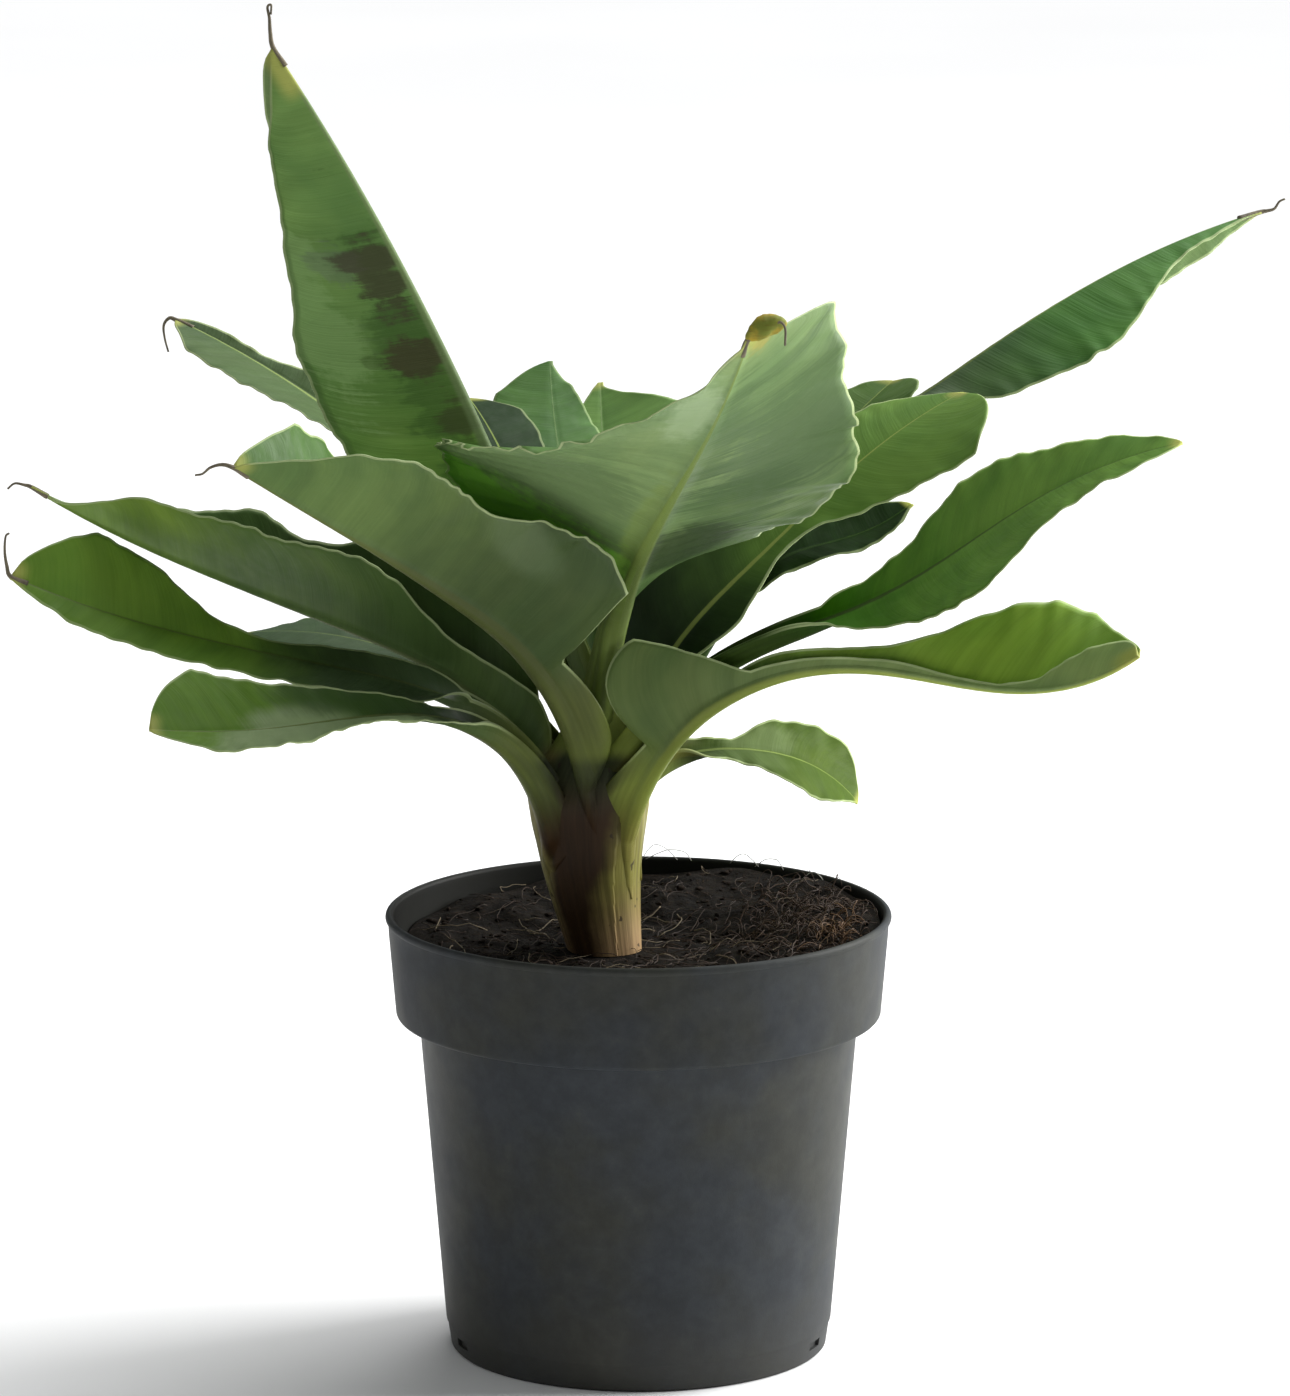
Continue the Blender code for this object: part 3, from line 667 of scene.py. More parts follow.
def leaf_stations(leaf, random):
    """The leaf's path, directions, distance and share of the blade at each station, and its halves there."""
    share = leaf.stalk / leaf.length
    along = np.concatenate(
        (np.linspace(0, share, STALK_STEPS, endpoint=False), np.linspace(share, 1, BLADE_STEPS))
    )
    distance = along * leaf.length
    blade = (distance - leaf.stalk) / (leaf.length - leaf.stalk)
    side, upper = directions(leaf, along)[1:]
    path = midrib(leaf, along)
    into_blade = smooth_step(-0.05, 0.15, blade)
    clasping = np.exp(-((distance / CLASP_REACH) ** 2))
    halves = []
    for sign, half, frill in ((-1, leaf.left, leaf.frill[0]), (1, leaf.right, leaf.frill[1])):
        width = half_width(leaf, half, blade, distance)
        width = width * (1 + BLADE_WAVES * waves(random, distance, 24) * into_blade)
        frilled = frill * waves(random, distance, 6.5, 2) * into_blade
        width = width + frilled * np.clip((1 - blade) * 5, 0, 1)
        fold = STALK_FOLD + (keyed(half.fold, blade) - STALK_FOLD) * into_blade
        fold = fold * (1 - (1 - CLASP_FOLD) * clasping)
        curl = half.curl * into_blade + STALK_CURL * (1 - into_blade) + CLASP_CURL * clasping
        halves.append([sign, frill, width, fold, curl])
    below = sheath_stations(leaf) if leaf.sheath else root_stations(leaf)
    gap = np.linalg.norm(np.diff(np.vstack((below[0], path[:1])), axis=0), axis=1)
    distance = np.concatenate((-np.cumsum(gap[::-1])[::-1], distance))
    path, side, upper = (np.vstack(pair) for pair in zip(below[:3], (path, side, upper)))
    blade = (distance - leaf.stalk) / (leaf.length - leaf.stalk)
    for half in halves:
        half[2:] = [np.concatenate(pair) for pair in zip(below[3:], half[2:])]
    return path, side, upper, distance, blade, halves


def leaf_piece(leaf):
    """A closed thin mesh of one leaf, with the measures that its material reads kept on its points."""
    random = np.random.default_rng(sum(ord(letter) for letter in leaf.name))
    path, side, upper, distance, blade, halves = leaf_stations(leaf, random)
    into_blade = smooth_step(-0.02, 0.15, blade)
    before_tip = np.clip((1 - blade) * 8, 0, 1)
    # The rib's half width, and how deep its keel is under the blade; both thin out, also down the sheath
    in_sheath = smooth_step(2, -16, distance)
    rib = np.clip(2.2 - 1.8 * blade, 0.4, 2.4) * (1 - 0.4 * in_sheath)
    keel = np.clip(1.7 - 1.5 * blade, 0.15, 2.1) * (1 - 0.75 * in_sheath)
    columns = {}
    for sign, frill, width, fold, curl in halves:
        core = np.minimum(rib, width * 0.5)

        def standing(out):
            """How far the half stands up at a distance out from the midrib, in radians."""
            return np.radians(fold * smooth_step(0, 1, out / core) + curl * out / width)[:, None]

        rib_edge = core * RIB_COLUMNS[-1]
        rest = HALF_COLUMNS + 1 - len(RIB_COLUMNS)
        reach = [core * share for share in RIB_COLUMNS]
        reach += [rib_edge + (width - rib_edge) * k / rest for k in range(1, rest + 1)]
        ruffle_wave = waves(random, distance, 26)
        frill_wave = waves(random, distance, 9.5, 2)
        swell_phase = random.uniform(0, 6)
        here = path.copy()
        previous = reach[0]
        for number, far in enumerate(reach):
            part = far / width
            angle = standing((far + previous) / 2)
            here = here + (sign * np.cos(angle) * side + np.sin(angle) * upper) * (far - previous)[:, None]
            angle = standing(far)
            face = np.cos(angle) * upper - sign * np.sin(angle) * side
            vein = distance - far * VEIN_SLANT - width * VEIN_BEND * part**4
            swell = VEIN_SWELL * np.sin(vein * math.tau / VEIN_SPACING + swell_phase)
            swell = swell * np.sqrt(np.clip(4 * part * (1 - part), 0, 1))
            ruffle = leaf.ruffle * part**3 * ruffle_wave + frill * part**5 * frill_wave
            lift = (swell + ruffle) * into_blade * before_tip
            half_thick = BLADE_THICKNESS / 2 * (1 - 0.55 * part**6) + 0.35 * (1 - into_blade)
            ridge = keel * np.sqrt(np.clip(1 - (far / (rib_edge + 1e-6)) ** 2, 0, 1))
            columns[sign * number] = dict(
                top=here + face * (lift + half_thick - ridge * GROOVE_SHARE)[:, None],
                low=here + face * (lift - half_thick - ridge * np.clip(1 + fold / 90, 0.25, 1))[:, None],
                across=sign * far, vein=vein + (0 if sign > 0 else LEFT_VEINS), margin=width - far,
            )
            previous = far
    columns = [columns[k] for k in range(-HALF_COLUMNS, HALF_COLUMNS + 1)]
    grid = {name: np.stack([column[name] for column in columns], 1) for name in columns[0]}
    points = np.concatenate([grid.pop(name).reshape(-1, 3) for name in ("top", "low")])
    for name, values in (("blade", blade), ("distance", distance)):
        grid[name] = np.repeat(values[:, None], len(columns), 1)
    faces, kinds = sheet_faces(len(distance), len(columns))
    materials = leaf_material(leaf, False), leaf_material(leaf, True)
    piece = mesh_object(f"leaf_{leaf.name}_blade", points, faces, *materials)
    piece.data.polygons.foreach_set("material_index", kinds)
    keep_measures(piece, {name: np.tile(values.reshape(-1), 2) for name, values in grid.items()})
    x, y, z = points.T
    keep_measures(piece, {"turn": np.degrees(np.arctan2(x - stem_at(z)[0], -y)), "height": z})
    return piece


def sheet_faces(stations, across):
    """The faces of a thin closed sheet over two grids of points, with 0 for upper and 1 for under side."""
    count = stations * across
    last = count - across
    faces, kinds = [], []
    for s in range(0, last, across):
        for a in range(s, s + across - 1):
            b = a + count
            faces += [(a, a + 1, a + across + 1, a + across), (b, b + across, b + across + 1, b + 1)]
            kinds += [0, 1]
        e = s + across - 1
        faces.append((s, s + across, s + across + count, s + count))
        faces.append((e, e + count, e + across + count, e + across))
        kinds += [0, 0]
    for a in range(across - 1):
        b = last + a
        faces += [(a, a + count, a + 1 + count, a + 1), (b, b + 1, b + 1 + count, b + count)]
        kinds += [0, 0]
    return faces, kinds


# ---- materials


def operator(name):
    """A sum or measure of one or two signals, by a math node."""
    return lambda signal, other=0.0: signal.nodes.math(name, signal, other)


class Signal:
    """A node's output, on which sums are written as sums."""

    def __init__(self, nodes, socket):
        self.nodes = nodes
        self.socket = socket

    __add__, __sub__ = operator("ADD"), operator("SUBTRACT")
    __mul__, __truediv__ = operator("MULTIPLY"), operator("DIVIDE")
    __abs__, root = operator("ABSOLUTE"), operator("SQRT")


class Nodes:
    """A short way to write a material's nodes."""

    def __init__(self, name):
        self.material = bpy.data.materials.new(name)
        self.material.use_nodes = True
        self.tree = self.material.node_tree

    def put(self, sockets, values):
        """Links or sets a node's inputs, which are given by name or number."""
        for key, value in values.items():
            if isinstance(value, Signal):
                self.tree.links.new(value.socket, sockets[key])
            elif isinstance(value, tuple):
                sockets[key].default_value = (*value, 1)
            elif value is not None:
                sockets[key].default_value = value

    def node(self, kind, inputs, **settings):
        """A new node's outputs."""
        node = self.tree.nodes.new("ShaderNode" + kind)
        for name, value in settings.items():
            setattr(node, name, value)
        self.put(node.inputs, inputs)
        return {socket.name: Signal(self, socket) for socket in node.outputs if socket.enabled}

    def attribute(self, name):
        return self.node("Attribute", {}, attribute_name=name)["Fac"]

    def position(self):
        return self.node("TexCoord", {})["Object"]

    def split(self, vector):
        return self.node("SeparateXYZ", {0: vector}).values()

    def join(self, x, y, z=0.0):
        return self.node("CombineXYZ", {0: x, 1: y, 2: z})["Vector"]

    def math(self, operation, a, b):
        return self.node("Math", {0: a, 1: b}, operation=operation)["Value"]

    def step(self, value, low, high, to_low=0.0, to_high=1.0):
        """Smoothly from to_low to to_high as the value goes from low to high."""
        inputs = dict(enumerate((value, low, high, to_low, to_high)))
        return self.node("MapRange", inputs, interpolation_type="SMOOTHSTEP")["Result"]

    def noise(self, vector, scale, detail=3.0, roughness=0.5):
        inputs = {"Vector": vector, "Scale": scale, "Detail": detail, "Roughness": roughness}
        return next(iter(self.node("TexNoise", inputs).values()))

    def mix(self, factor, a, b, blend="MIX"):
        return self.node("Mix", {0: factor, 6: a, 7: b}, data_type="RGBA", blend_type=blend)["Result"]

    def blend(self, pattern, low, high, a, b):
        """Goes from a to b as the pattern goes from low to high."""
        return self.mix(self.step(pattern, low, high), a, b)

    def vary(self, colour, *pattern_and_tints):
        """Multiplies a colour by a blend of two tints."""
        return self.mix(1.0, colour, self.blend(*pattern_and_tints), "MULTIPLY")

    def paint(self, colour, tint, strength, pattern, low, high):
        """Covers a colour with a tint, up to its strength, as the pattern goes from low to high."""
        return self.mix(self.step(pattern, low, high, 0.0, strength), colour, linear(*tint))

    def bump(self, height, strength, distance, normal=None):
        inputs = {"Strength": strength, "Distance": distance, "Height": height, "Normal": normal}
        return self.node("Bump", inputs)["Normal"]

    def finish(self, colour, roughness, normal=None, specular=0.5):
        inputs = {"Base Color": colour, "Roughness": roughness, "Specular IOR Level": specular}
        self.put(self.tree.nodes["Principled BSDF"].inputs, inputs | {"Normal": normal})
        return self.material


def shade(colour, factor):
    return tuple(min(1.0, value * factor) for value in colour)


def leaf_material(leaf, under):
    """The waxy blade: fine slanting veins, pale midrib and edge, painted shade towards the stem, patches of
    its own colour, painted shade and painted highlight, and a drying tip.
    """
    nodes = Nodes(f"leaf_{leaf.name}_{'under' if under else 'upper'}")
    inner, outer = leaf.lower if under else leaf.upper
    seed = sum(ord(letter) for letter in leaf.name) % 97
    signed, vein, margin = nodes.attribute("across"), nodes.attribute("vein"), nodes.attribute("margin")
    blade, distance = nodes.attribute("blade"), nodes.attribute("distance")
    across = abs(signed)
    slanted = nodes.join(vein, across * 0.035, seed)
    fine = nodes.noise(slanted, 1.3, 2.0, 0.6)
    broad = nodes.noise(slanted, 0.16, 2.0, 0.55)
    spread = nodes.join(vein, across, seed)
    cloud = nodes.noise(spread, 0.035, 3.0, 0.55)
    mottle = nodes.noise(spread, 0.3, 4.0, 0.6)
    # Painted shade: the blade is darker towards the stem, where the crown shades it
    outward = nodes.step(blade + cloud * 0.25, *leaf.fade)
    colour = nodes.mix(outward, linear(*inner), linear(*outer))
    colour = nodes.vary(colour, broad, 0.3, 0.7, (0.93, 0.93, 0.92), (1.07, 1.07, 1.07))
    colour = nodes.vary(colour, fine, 0.35, 0.72, PLAIN, (1.1, 1.08, 1.1) if under else (0.9, 0.92, 0.87))
    colour = nodes.vary(colour, cloud, 0.3, 0.7, (0.84, 0.88, 0.8), (1.2, 1.12, 1.02))
    # Patches: the leaf's own colours, and painted shade, painted highlights and painted light glowing
    # through the blade
    for middle, out, half_length, half_breadth, tint, strength in leaf.spots if under else leaf.marks:
        middle += LEFT_VEINS if out < 0 else 0
        lengthwise, sideways = (vein - middle) / half_length, (signed - out) / half_breadth
        apart = (lengthwise * lengthwise + sideways * sideways).root()
        for noise, share in ((broad, 1.6), (mottle, 0.9), (fine, 0.8)):
            apart = apart + (noise - 0.5) * (share * leaf.ragged)
        colour = nodes.paint(colour, tint, strength, apart, 1.5 - 0.35 * leaf.ragged, 0.6)
    pale = linear(*leaf.stalk_colour)
    rib_half = nodes.step(blade, -0.1, 0.9, (2.2 if under else 1.3) * leaf.rib, 0.35 * leaf.rib)
    rib = nodes.step(across / rib_half, 1.15, 0.75)
    # The pale rib, darker towards the stem as painted shade
    colour = nodes.mix(rib * 0.85, colour, nodes.mix(outward, shade(pale, 0.7), shade(pale, 1.25)))
    colour = nodes.paint(colour, (166, 180, 130), leaf.edge, margin, 0.85, 0.5)
    streak = nodes.noise(nodes.join(distance * 0.05, across, seed), 0.9, 3.0)
    stalk_colour = nodes.blend(streak, 0.35, 0.7, shade(pale, 0.84), shade(pale, 1.08))
    colour = nodes.blend(blade, 0.05, -0.12, colour, stalk_colour)
    wrapping = nodes.step(margin, 5.0, 0.5) * nodes.step(distance, 32, 8)
    merging = nodes.math("MAXIMUM", nodes.step(distance, leaf.merge, -4), wrapping)
    colour = nodes.mix(merging, colour, stem_colour(nodes)[0])
    dry = nodes.step(blade + cloud * 0.04, leaf.dry, leaf.dry + 0.04, 0.0, 0.9)
    colour = nodes.mix(dry * nodes.step(across, 7.0, 2.5), colour, linear(152, 156, 80))
    ridges = nodes.bump(broad, 0.18, 0.001, nodes.bump(fine, 0.22, 0.0005))
    return nodes.finish(colour, nodes.step(mottle, 0.3, 0.7, 0.44, 0.58), ridges, leaf.gloss)


def pot_material():
    """Matte dark grey plastic with dusty patches, faint scuffs and a fine moulded grain; painted light makes
    it lighter below the collar and at the foot, and painted shade darkens the wall inside the rim.
    """
    nodes = Nodes("pot_plastic")
    position = nodes.position()
    x, y, z = nodes.split(position)
    cloud = nodes.noise(position, 22.0, 4.0, 0.6)
    dust = nodes.noise(position, 160.0, 5.0, 0.65)
    angle = nodes.math("ARCTAN2", y, x)
    scuff = nodes.noise(nodes.join(angle * 0.6, z * 130.0, 3.0), 4.0, 4.0)
    colour = nodes.blend(cloud, 0.35, 0.65, linear(50, 51, 47), linear(49, 52, 55))
    colour = nodes.vary(colour, dust, 0.3, 0.7, (0.88, 0.88, 0.88), (1.12, 1.12, 1.12))
    colour = nodes.paint(colour, (66, 66, 60), 0.3, dust, 0.6, 0.78)
    colour = nodes.paint(colour, (58, 60, 60), 0.25, scuff, 0.62, 0.78)
    # Painted light: lighter below the collar, and lighter still at the foot, where the floor throws light up
    colour = nodes.vary(colour, z, 0.100, 0.092, PLAIN, (1.1, 1.1, 1.1))
    colour = nodes.paint(colour, (68, 67, 63), 0.4, z, 0.030, 0.004)
    # Painted shade: the inside wall above the soil nearly black
    inner = (x * x + y * y).root() - z * 0.069
    inside = nodes.step(inner, 0.0602, 0.0598) * nodes.step(z, 0.098, 0.100)
    colour = nodes.mix(inside * 0.9, colour, linear(22, 22, 18))
    grain = nodes.bump(nodes.noise(position, 2200.0, 2.0, 0.5), 0.12, 0.0002)
    grain = nodes.bump(cloud, 0.08, 0.002, grain)
    return nodes.finish(colour, nodes.step(cloud, 0.3, 0.7, 0.5, 0.62), grain, 0.1)


def soil_material(name, dark, light, share):
    """Peat or bark: coarse and fine grain, tan flecks up to that share, and dark pits."""
    nodes = Nodes(name)
    position = nodes.position()
    coarse = nodes.noise(position, 180.0, 6.0, 0.65)
    fine = nodes.noise(position, 900.0, 6.0, 0.7)
    colour = nodes.blend(coarse, 0.35, 0.7, linear(*dark), linear(*light))
    colour = nodes.paint(colour, (104, 82, 56), share, fine, 0.55, 0.75)
    colour = nodes.paint(colour, (16, 13, 11), 0.7, fine, 0.48, 0.3)
    relief = nodes.bump(coarse, 0.6, 0.002, nodes.bump(fine, 0.9, 0.0012))
    return nodes.finish(colour, nodes.step(fine, 0.3, 0.7, 0.85, 1.0), relief, 0.12)


def fibre_material(name, colour):
    """A dry thread, darker and lighter along its length."""
    nodes = Nodes(name)
    position = nodes.position()
    cloud = nodes.noise(position, 300.0, 4.0)
    base = linear(*colour)
    mixed = nodes.blend(cloud, 0.3, 0.7, shade(base, 0.6), shade(base, 1.2))
    relief = nodes.bump(nodes.noise(position, 1500.0, 3.0), 0.4, 0.0004)
    return nodes.finish(mixed, nodes.step(cloud, 0.3, 0.7, 0.6, 0.8), relief, 0.3)


def curl_material(name):
    """A drying leaf end: mustard yellow going olive, with fine brown streaks."""
    nodes = Nodes(name)
    position = nodes.position()
    cloud = nodes.noise(position, 260.0, 3.0)
    x, y, z = nodes.split(position)
    streak = nodes.noise(nodes.join(x * 300.0, y, z * 1400.0), 1.0, 3.0)
    colour = nodes.blend(cloud, 0.35, 0.65, linear(150, 132, 42), linear(108, 116, 44))
    colour = nodes.paint(colour, (96, 76, 30), 0.6, streak, 0.5, 0.75)
    rough = nodes.step(cloud, 0.3, 0.7, 0.5, 0.65)
    return nodes.finish(colour, rough, nodes.bump(streak, 0.4, 0.0004), 0.15)


def stem_colour(nodes):
    """Sheaths: maroon-brown in front, olive at the left, yellow-green at the right, tan at the foot."""
    turn, height = nodes.attribute("turn"), nodes.attribute("height")
    streak = nodes.noise(nodes.join(turn * 0.16, height * 0.03), 1.0, 4.0, 0.55)
    position = nodes.position()
    cloud = nodes.noise(position, 90.0, 3.0)
    drift = turn + (cloud - 0.5) * 26.0
    tan = nodes.step(height, 136, 112)
    right = nodes.mix(tan, linear(124, 121, 60), linear(160, 133, 100))
    left = nodes.mix(tan, linear(122, 118, 74), linear(104, 84, 62))
    middle = nodes.blend(height, 150, 166, linear(54, 38, 22), linear(47, 54, 33))
    behind = nodes.blend(cloud, 0.4, 0.6, linear(66, 54, 38), linear(88, 82, 46))
    border = drift - nodes.step(height, 108, 162, -14, 34)
    colour = nodes.blend(border, -12, 20, middle, right)
    colour = nodes.blend(drift, -44, -66, colour, left)
    colour = nodes.blend(abs(turn), 105, 140, colour, behind)
    colour = nodes.vary(colour, streak, 0.3, 0.7, (0.7, 0.68, 0.62), (1.18, 1.15, 1.06))
    colour = nodes.paint(colour, (44, 36, 26), 0.8, nodes.noise(position, 330.0, 2.0), 0.69, 0.72)
    return nodes.blend(height, 167, 172, colour, linear(104, 116, 50)), streak, cloud


def stem_material():
    nodes = Nodes("stem_sheaths")
    colour, streak, cloud = stem_colour(nodes)
    rough = nodes.step(cloud, 0.3, 0.7, 0.46, 0.6)
    return nodes.finish(colour, rough, nodes.bump(streak, 0.3, 0.0006), 0.2)


# ---- plant


def make_leaves():
    for leaf in LEAVES:
        add_piece(leaf_piece(leaf), "leaf", "leaf_" + leaf.name)
        if leaf.tail:
            make_tail(leaf)
        if leaf.curl_at_tip:
            make_curl(leaf)


def make_tail(leaf):
    """The dry thread that runs on from the tip."""
    tip = midrib(leaf, np.array([0.97, 1.0]))
    t = np.linspace(0, 1, 36)
    path = keyed_path(np.vstack((tip, tip[1] + np.array(leaf.tail, float))), t)
    points, faces = tube(path, 0.3 + 0.6 * (1 - t) ** 2)
    name = "tail_" + leaf.name
    add_piece(mesh_object(name, points, faces, fibre_material(name, (104, 96, 78))), "leaf")


def make_curl(leaf):
    """The rolled yellow end of the blade, beside its tip."""
    steps, sides = 28, 24
    t = np.linspace(0, 1, steps)
    path = np.stack((-0.5 + 10.5 * t, -0.6 * t, 0.2 + 4.2 * np.sin(t * 1.9)), -1)
    path = midrib(leaf, np.array([1.0]))[0] + path
    random = np.random.default_rng(31)
    radii = 0.4 + 2.5 * np.sin(math.pi * t) ** 0.7 + 0.15 * waves(random, t, 0.4)
    points, faces = tube(path, radii, sides)
    turn = np.tile(np.arange(sides) * math.tau / sides, steps)
    centres = np.repeat(path, sides, 0)
    creases = 1 + 0.1 * np.sin(turn * 3 + np.repeat(t, sides) * 9)
    points = centres + (points - centres) * creases[:, None]
    name = "curl_" + leaf.name
    add_piece(mesh_object(name, points, faces, curl_material(name)), "leaf")


def make_stem():
    """The pseudostem: a smooth flaring bundle of sheaths with three free edges, closed among the stalks."""
    angles = np.arange(STEM_SIDES) * math.tau / STEM_SIDES
    turn = half_turn(np.degrees(angles) + 90)
    rows = []
    for height in np.linspace(STEM_FOOT, STEM_TOP, STEM_ROWS):
        up = height - STEM_FOOT
        crown = smooth_step(146, 160, height) * smooth_step(STEM_TOP, STEM_TOP - 12, height)
        uneven = crown * (2.5 * np.sin(3 * angles + 0.6) + 1.5 * np.sin(5 * angles))
        along = (up + uneven) / (STEM_TOP - STEM_FOOT)
        wide, deep, middle = (keyed(values, along) for values in STEM_DRAWN)
        lobes = 1 + (0.02 + 0.04 * crown) * (np.abs(np.sin(2.5 * angles + up * 0.012)) - 0.6)
        proud = np.zeros(STEM_SIDES)
        for low, high, side, lift in SHEATH_EDGES:
            inside = side * half_turn(turn - low - (high - low) * up / SHEATH_EDGE_RISE)
            proud += lift * np.where(inside > 0, np.exp(-inside / SHEATH_EDGE_FADE), 0)
        x = middle + (wide * lobes - STEM_INSET + proud) * np.cos(angles)
        y = (deep * lobes - STEM_INSET + proud) * np.sin(angles)
        rows.append(np.stack((x, y, height + 0 * x), -1))
    points = np.concatenate(rows)
    piece = mesh_object("pseudostem_sheaths", points, ring_faces(STEM_ROWS, STEM_SIDES), stem_material())
    keep_measures(piece, {"turn": np.tile(turn, STEM_ROWS), "height": points[:, 2]})
    piece.data.set_sharp_from_angle(angle=math.radians(50))
    add_piece(piece, "stem", "pseudostem")


# ---- pot


def make_pot():
    """The pot again with a rounder rim, collar and foot, and its drain holes."""
    collar_foot = POT_HEIGHT - COLLAR_DEPTH
    shelf = collar_foot + WALL
    inside = [
        (0, FLOOR), (FOOT_RADIUS - WALL - 4, FLOOR), (FOOT_RADIUS - WALL, FLOOR + 0.4),
        (BODY_FOOT_RADIUS - WALL, FLOOR + FOOT_CHAMFER), (BODY_TOP_RADIUS - WALL, shelf),
        (COLLAR_FOOT_RADIUS - COLLAR_LIP - WALL, shelf + 0.3),
        (COLLAR_FOOT_RADIUS - WALL, shelf + COLLAR_LIP), (COLLAR_TOP_RADIUS - WALL, POT_HEIGHT - 2.4),
    ]
    rim = arc((RIM_RADIUS - RIM_ROUNDING, POT_HEIGHT - RIM_ROUNDING), RIM_ROUNDING, 180, -60, 14)
    rim += [(COLLAR_TOP_RADIUS, POT_HEIGHT - RIM_BEAD * 2), (COLLAR_TOP_RADIUS - 0.15, POT_HEIGHT - 6)]
    lip = arc((COLLAR_FOOT_RADIUS - COLLAR_LIP, collar_foot + COLLAR_LIP), COLLAR_LIP, 0, -90, 8)
    body = [
        (BODY_TOP_RADIUS + 0.4, collar_foot), (BODY_TOP_RADIUS, collar_foot - 0.5),
        (BODY_FOOT_RADIUS + 0.1, FOOT_CHAMFER + 1.2), (BODY_FOOT_RADIUS, FOOT_CHAMFER + 0.6),
        (BODY_FOOT_RADIUS - 0.35, FOOT_CHAMFER), (FOOT_RADIUS + 0.3, 0.7), (FOOT_RADIUS - 0.3, 0.1),
    ]
    underside = [
        (FOOT_RADIUS - 0.8, 0), (FOOT_RADIUS - 5, 0), (FOOT_RADIUS - 5 - PAD_HEIGHT, PAD_HEIGHT),
        (PAD_RADIUS + PAD_HEIGHT, PAD_HEIGHT), (PAD_RADIUS, 0), (0, 0),
    ]
    shell = turned(inside + rim + lip + body + underside, POT_STEPS)
    uncut = link(mesh_object("pot_uncut", *shell, pot_material()))
    cutters = []
    for number in range(DRAIN_HOLES):
        angle = math.tau * (number + 0.5) / DRAIN_HOLES
        cutters.append(hole_cutter(angle))
        if abs(math.cos(angle)) > 0.5:  # slots at the right and the left alone
            cutters.append(slot_cutter(angle))
    for cutter in cutters:
        cut = uncut.modifiers.new("cut", "BOOLEAN")
        cut.operation = "DIFFERENCE"
        cut.solver = "EXACT"
        cut.object = cutter
    evaluated = uncut.evaluated_get(bpy.context.evaluated_depsgraph_get())
    data = bpy.data.meshes.new_from_object(evaluated)
    for thing in (uncut, *cutters):
        bpy.data.objects.remove(thing)
    data.shade_smooth()
    data.set_sharp_from_angle(angle=math.radians(35))
    add_piece(bpy.data.objects.new("pot_shell", data), "pot", "pot")


def cutter_object(mesh, circle, angle, height):
    """A solid to cut with, at an angle round the pot's axis."""
    data = bpy.data.meshes.new("cutter")
    mesh.to_mesh(data)
    mesh.free()
    cutter = link(bpy.data.objects.new("cutter", data))
    cutter.location = (circle * MM * math.cos(angle), circle * MM * math.sin(angle), height * MM)
    cutter.hide_render = True
    return cutter


def hole_cutter(angle):
    """A drain hole through the floor."""
    mesh = bmesh.new()
    radius = DRAIN_RADIUS * MM
    bmesh.ops.create_cone(
        mesh, cap_ends=True, segments=28, radius1=radius, radius2=radius, depth=FLOOR * 3 * MM
    )
    return cutter_object(mesh, DRAIN_CIRCLE, angle, 0)


def slot_cutter(angle):
    """A shallow notch in the foot's chamfer, outside a drain hole."""
    mesh = bmesh.new()
    bmesh.ops.create_cube(mesh, size=1)
    for vertex in mesh.verts:
        vertex.co = [value * size * MM for value, size in zip(vertex.co, DRAIN_SLOT)]
    cutter = cutter_object(mesh, DRAIN_SLOT_CIRCLE, angle, DRAIN_SLOT_HEIGHT)
    cutter.rotation_euler = (0, 0, angle)
    return cutter


# ---- soil


def soil_height(x, y):
    """The soil's top: rippled, higher at the right, banked round the back, and level at the stem."""
    slope = SOIL_RISE_RIGHT * x + SOIL_RISE_BACK * y
    ripple = SOIL_RIPPLE * np.sin(x * 0.13 + 1.0) * np.sin(y * 0.17 + 0.6)
    off_back = np.abs(half_turn(np.degrees(np.arctan2(y, x)) - SOIL_BANK_HEADING))
    bank = SOIL_BANK * smooth_step(125, 70, off_back) * smooth_step(22, 60, np.hypot(x, y))
    return SOIL_LEVEL + (slope + ripple + bank) * smooth_step(20, 40, np.hypot(x - STEM_MIDDLE, y))


def lumps(x, y):
    """Crumbly relief of the soil, from a few crossed waves of several sizes."""
    random = np.random.default_rng(11)
    total = np.zeros(np.shape(x))
    for size, height in ((17, 0.7), (8, 0.5), (4.2, 0.28), (2.3, 0.16)):
        layer = np.zeros(np.shape(x))
        for _ in range(6):
            heading, phase = random.uniform(0, math.tau, 2)
            layer = layer + np.sin((x * math.cos(heading) + y * math.sin(heading)) * math.tau / size + phase)
        total = total + height * np.abs(layer / 2.4) ** 0.8 * np.sign(layer) * 0.6
    return total


def on_soil(x, y):
    """The height of the lumpy soil at one spot."""
    return float(soil_height(x, y) + lumps(x, y))


def is_clear(x, y, reach, clearance):
    """True for a spot within reach of the pot's axis and clear of the stem."""
    return math.hypot(x, y) <= reach and math.hypot(x - STEM_MIDDLE, y) >= clearance


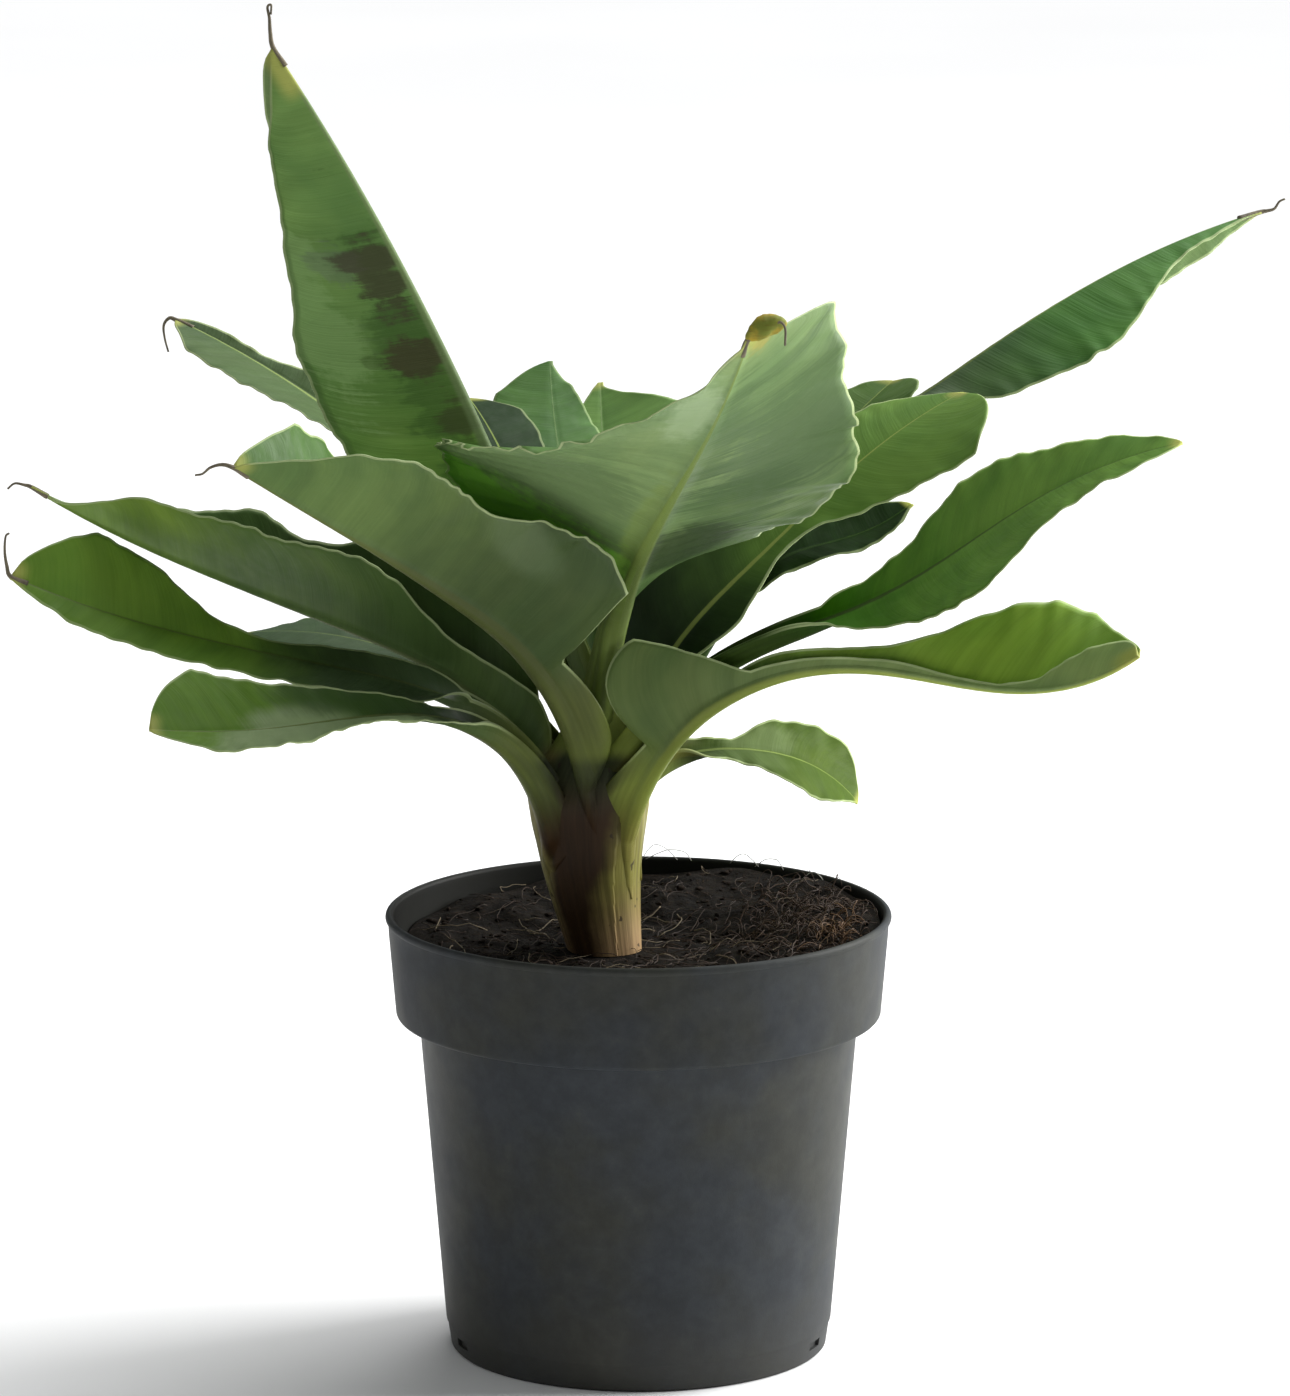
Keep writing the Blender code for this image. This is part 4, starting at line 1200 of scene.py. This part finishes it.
def make_soil():
    """The soil's crumbly top over its plug."""
    edge = COLLAR_TOP_RADIUS - WALL - SOIL_GAP
    radii = edge * np.linspace(0, 1, SOIL_RINGS + 1) ** 0.85
    profile = [(float(radius), 0.0) for radius in radii]
    profile += [(edge, 1 - SOIL_PLUG), (edge - 8, -SOIL_PLUG), (0, -SOIL_PLUG)]
    points, faces = turned(profile, SOIL_SIDES)
    x, y, z = points.T
    near_edge, from_stem = np.hypot(x, y), np.hypot(x - STEM_MIDDLE, y)
    rough = smooth_step(edge + 0.5, edge - 6, near_edge) * smooth_step(8, 20, from_stem)
    points[:, 2] = np.where(z == 0, soil_height(x, y) + lumps(x, y) * rough, z + SOIL_LEVEL)
    material = soil_material("soil_peat", (18, 15, 12), (32, 26, 20), 0.25)
    add_piece(mesh_object("soil_top", points, faces, material), "soil", "soil")


def crumb(random, centre, size):
    """A small uneven lump."""
    mesh = bmesh.new()
    bmesh.ops.create_icosphere(mesh, subdivisions=2, radius=1)
    points = np.array([v.co for v in mesh.verts])
    faces = [tuple(v.index for v in f.verts) for f in mesh.faces]
    mesh.free()
    bumps = 1 + 0.22 * np.sin(points @ random.normal(0, 3, 3) + random.uniform(0, 6))
    bumps = bumps + 0.12 * np.sin(points @ random.normal(0, 6, 3) + random.uniform(0, 6))
    stretch = random.uniform((0.6, 0.6, 0.35), (1.4, 1.4, 0.7)) * size
    turn = random.uniform(0, math.tau)
    spin = np.array(((math.cos(turn), -math.sin(turn), 0), (math.sin(turn), math.cos(turn), 0), (0, 0, 1)))
    return points * bumps[:, None] * stretch @ spin.T + centre, faces


def make_crumbs():
    """Crumbs of peat and bits of bark scattered over the top."""
    random = np.random.default_rng(5)
    parts = []
    while len(parts) < CRUMBS:
        x, y = random.uniform(-LITTER_REACH, LITTER_REACH, 2)
        if is_clear(x, y, CRUMB_REACH, CRUMB_CLEARANCE):
            size = random.uniform(0.35, 1.1)
            parts.append(crumb(random, (x, y, on_soil(x, y) + size * 0.1), size))
    material = soil_material("soil_crumb", (23, 18, 14), (42, 32, 24), 0.3)
    add_piece(joined("soil_crumbs", parts, material), "soil")


def fibre(random, start, length, heading, lift, radius, curve):
    """A thin bent root or coir thread that lies on the soil."""
    points, here = [], np.array(start, float)
    for step in range(FIBRE_STEPS):
        points.append(here.copy())
        heading += curve / FIBRE_STEPS + random.normal(0, 0.12)
        here = here + np.array((math.cos(heading), math.sin(heading), 0)) * length / FIBRE_STEPS
        out = math.hypot(here[0], here[1])
        if out > LITTER_REACH:
            here[:2] *= LITTER_REACH / out
        ground = on_soil(here[0], here[1])
        here[2] = ground + 0.35 + lift * math.sin(math.pi * (step + 1) / FIBRE_STEPS)
    return tube(points, np.linspace(radius, radius * 0.5, FIBRE_STEPS), 6)


def make_fibres():
    """Matted roots and coir: dark hairs all over, pale ones here and there, a brown tuft to the right."""
    random = np.random.default_rng(23)
    for kind, count, centre, spread, lengths, lifts, radii, bend, colour in FIBRES:
        parts = []
        while len(parts) < count:
            x, y = random.normal(centre, spread)
            if not is_clear(x, y, FIBRE_REACH, FIBRE_CLEARANCE):
                continue
            start = (x, y, on_soil(x, y) + 0.3)
            length, lift, radius = (random.uniform(*pair) for pair in (lengths, lifts, radii))
            heading, curve = random.uniform(0, math.tau), random.normal(0, bend)
            parts.append(fibre(random, start, length, heading, lift, radius, curve))
        add_piece(joined("soil_fibres_" + kind, parts, fibre_material("fibre_" + kind, colour)), "soil")
    hairs = [tube(keyed_path(knots, np.linspace(0, 1, 16)), np.full(16, 0.13), 6) for knots in FLUFF]
    add_piece(joined("soil_fluff", hairs, fibre_material("fluff", (176, 174, 168))), "soil")


# ---- studio


def make_studio():
    """A pale floor, soft light from above and all round, and a large soft light from the right."""
    bpy.ops.mesh.primitive_plane_add(size=14)
    floor = bpy.context.object
    floor.name = "floor"
    nodes = Nodes("floor_paint")
    cloud = nodes.noise(nodes.position(), 3.0, 2.0)
    colour = nodes.blend(cloud, 0.3, 0.7, (0.86, 0.86, 0.86), (0.88, 0.88, 0.88))
    floor.data.materials.append(nodes.finish(colour, 0.8, None, 0.2))
    world = bpy.data.worlds.new("studio")
    world.use_nodes = True
    background = world.node_tree.nodes["Background"]
    background.inputs["Color"].default_value = (0.96, 0.98, 1.0, 1)
    background.inputs["Strength"].default_value = 0.3
    bpy.context.scene.world = world
    add_area("window", location=(1300, 350, 700), size=1000, watts=42)
    add_area("left", location=(-1500, 300, 600), size=800, watts=1)
    sky = bpy.data.lights.new("sky", "SUN")
    sky.energy = 3.1
    sky.angle = math.radians(60)
    lamp = link(bpy.data.objects.new("sky", sky))
    lamp.rotation_euler = (math.radians(-22), math.radians(24), 0)


def add_area(name, location, size, watts):
    light = bpy.data.lights.new(name, "AREA")
    light.size = size * MM
    light.energy = watts
    lamp = link(bpy.data.objects.new(name, light))
    lamp.location = Vector(location) * MM
    lamp.rotation_euler = (Vector(LIGHT_AIM) * MM - lamp.location).to_track_quat("-Z", "Y").to_euler()


def make_camera():
    data = bpy.data.cameras.new("camera")
    data.lens = LENS
    data.sensor_width = SENSOR
    data.sensor_fit = "AUTO"
    data.clip_end = 50
    camera = link(bpy.data.objects.new("camera", data))
    dip = math.radians(CAMERA_DIP)
    back, up = CAMERA_DISTANCE * math.cos(dip), CAMERA_DISTANCE * math.sin(dip)
    x, y, z = CAMERA_AIM
    camera.location = (x * MM, (y - back) * MM, (z + up) * MM)
    camera.rotation_euler = (math.radians(90) - dip, 0, 0)
    bpy.context.scene.camera = camera


make_camera()
make_studio()
make_pot()
make_soil()
make_crumbs()
make_fibres()
make_stem()
make_leaves()
bpy.context.scene.view_settings.view_transform = "Standard"
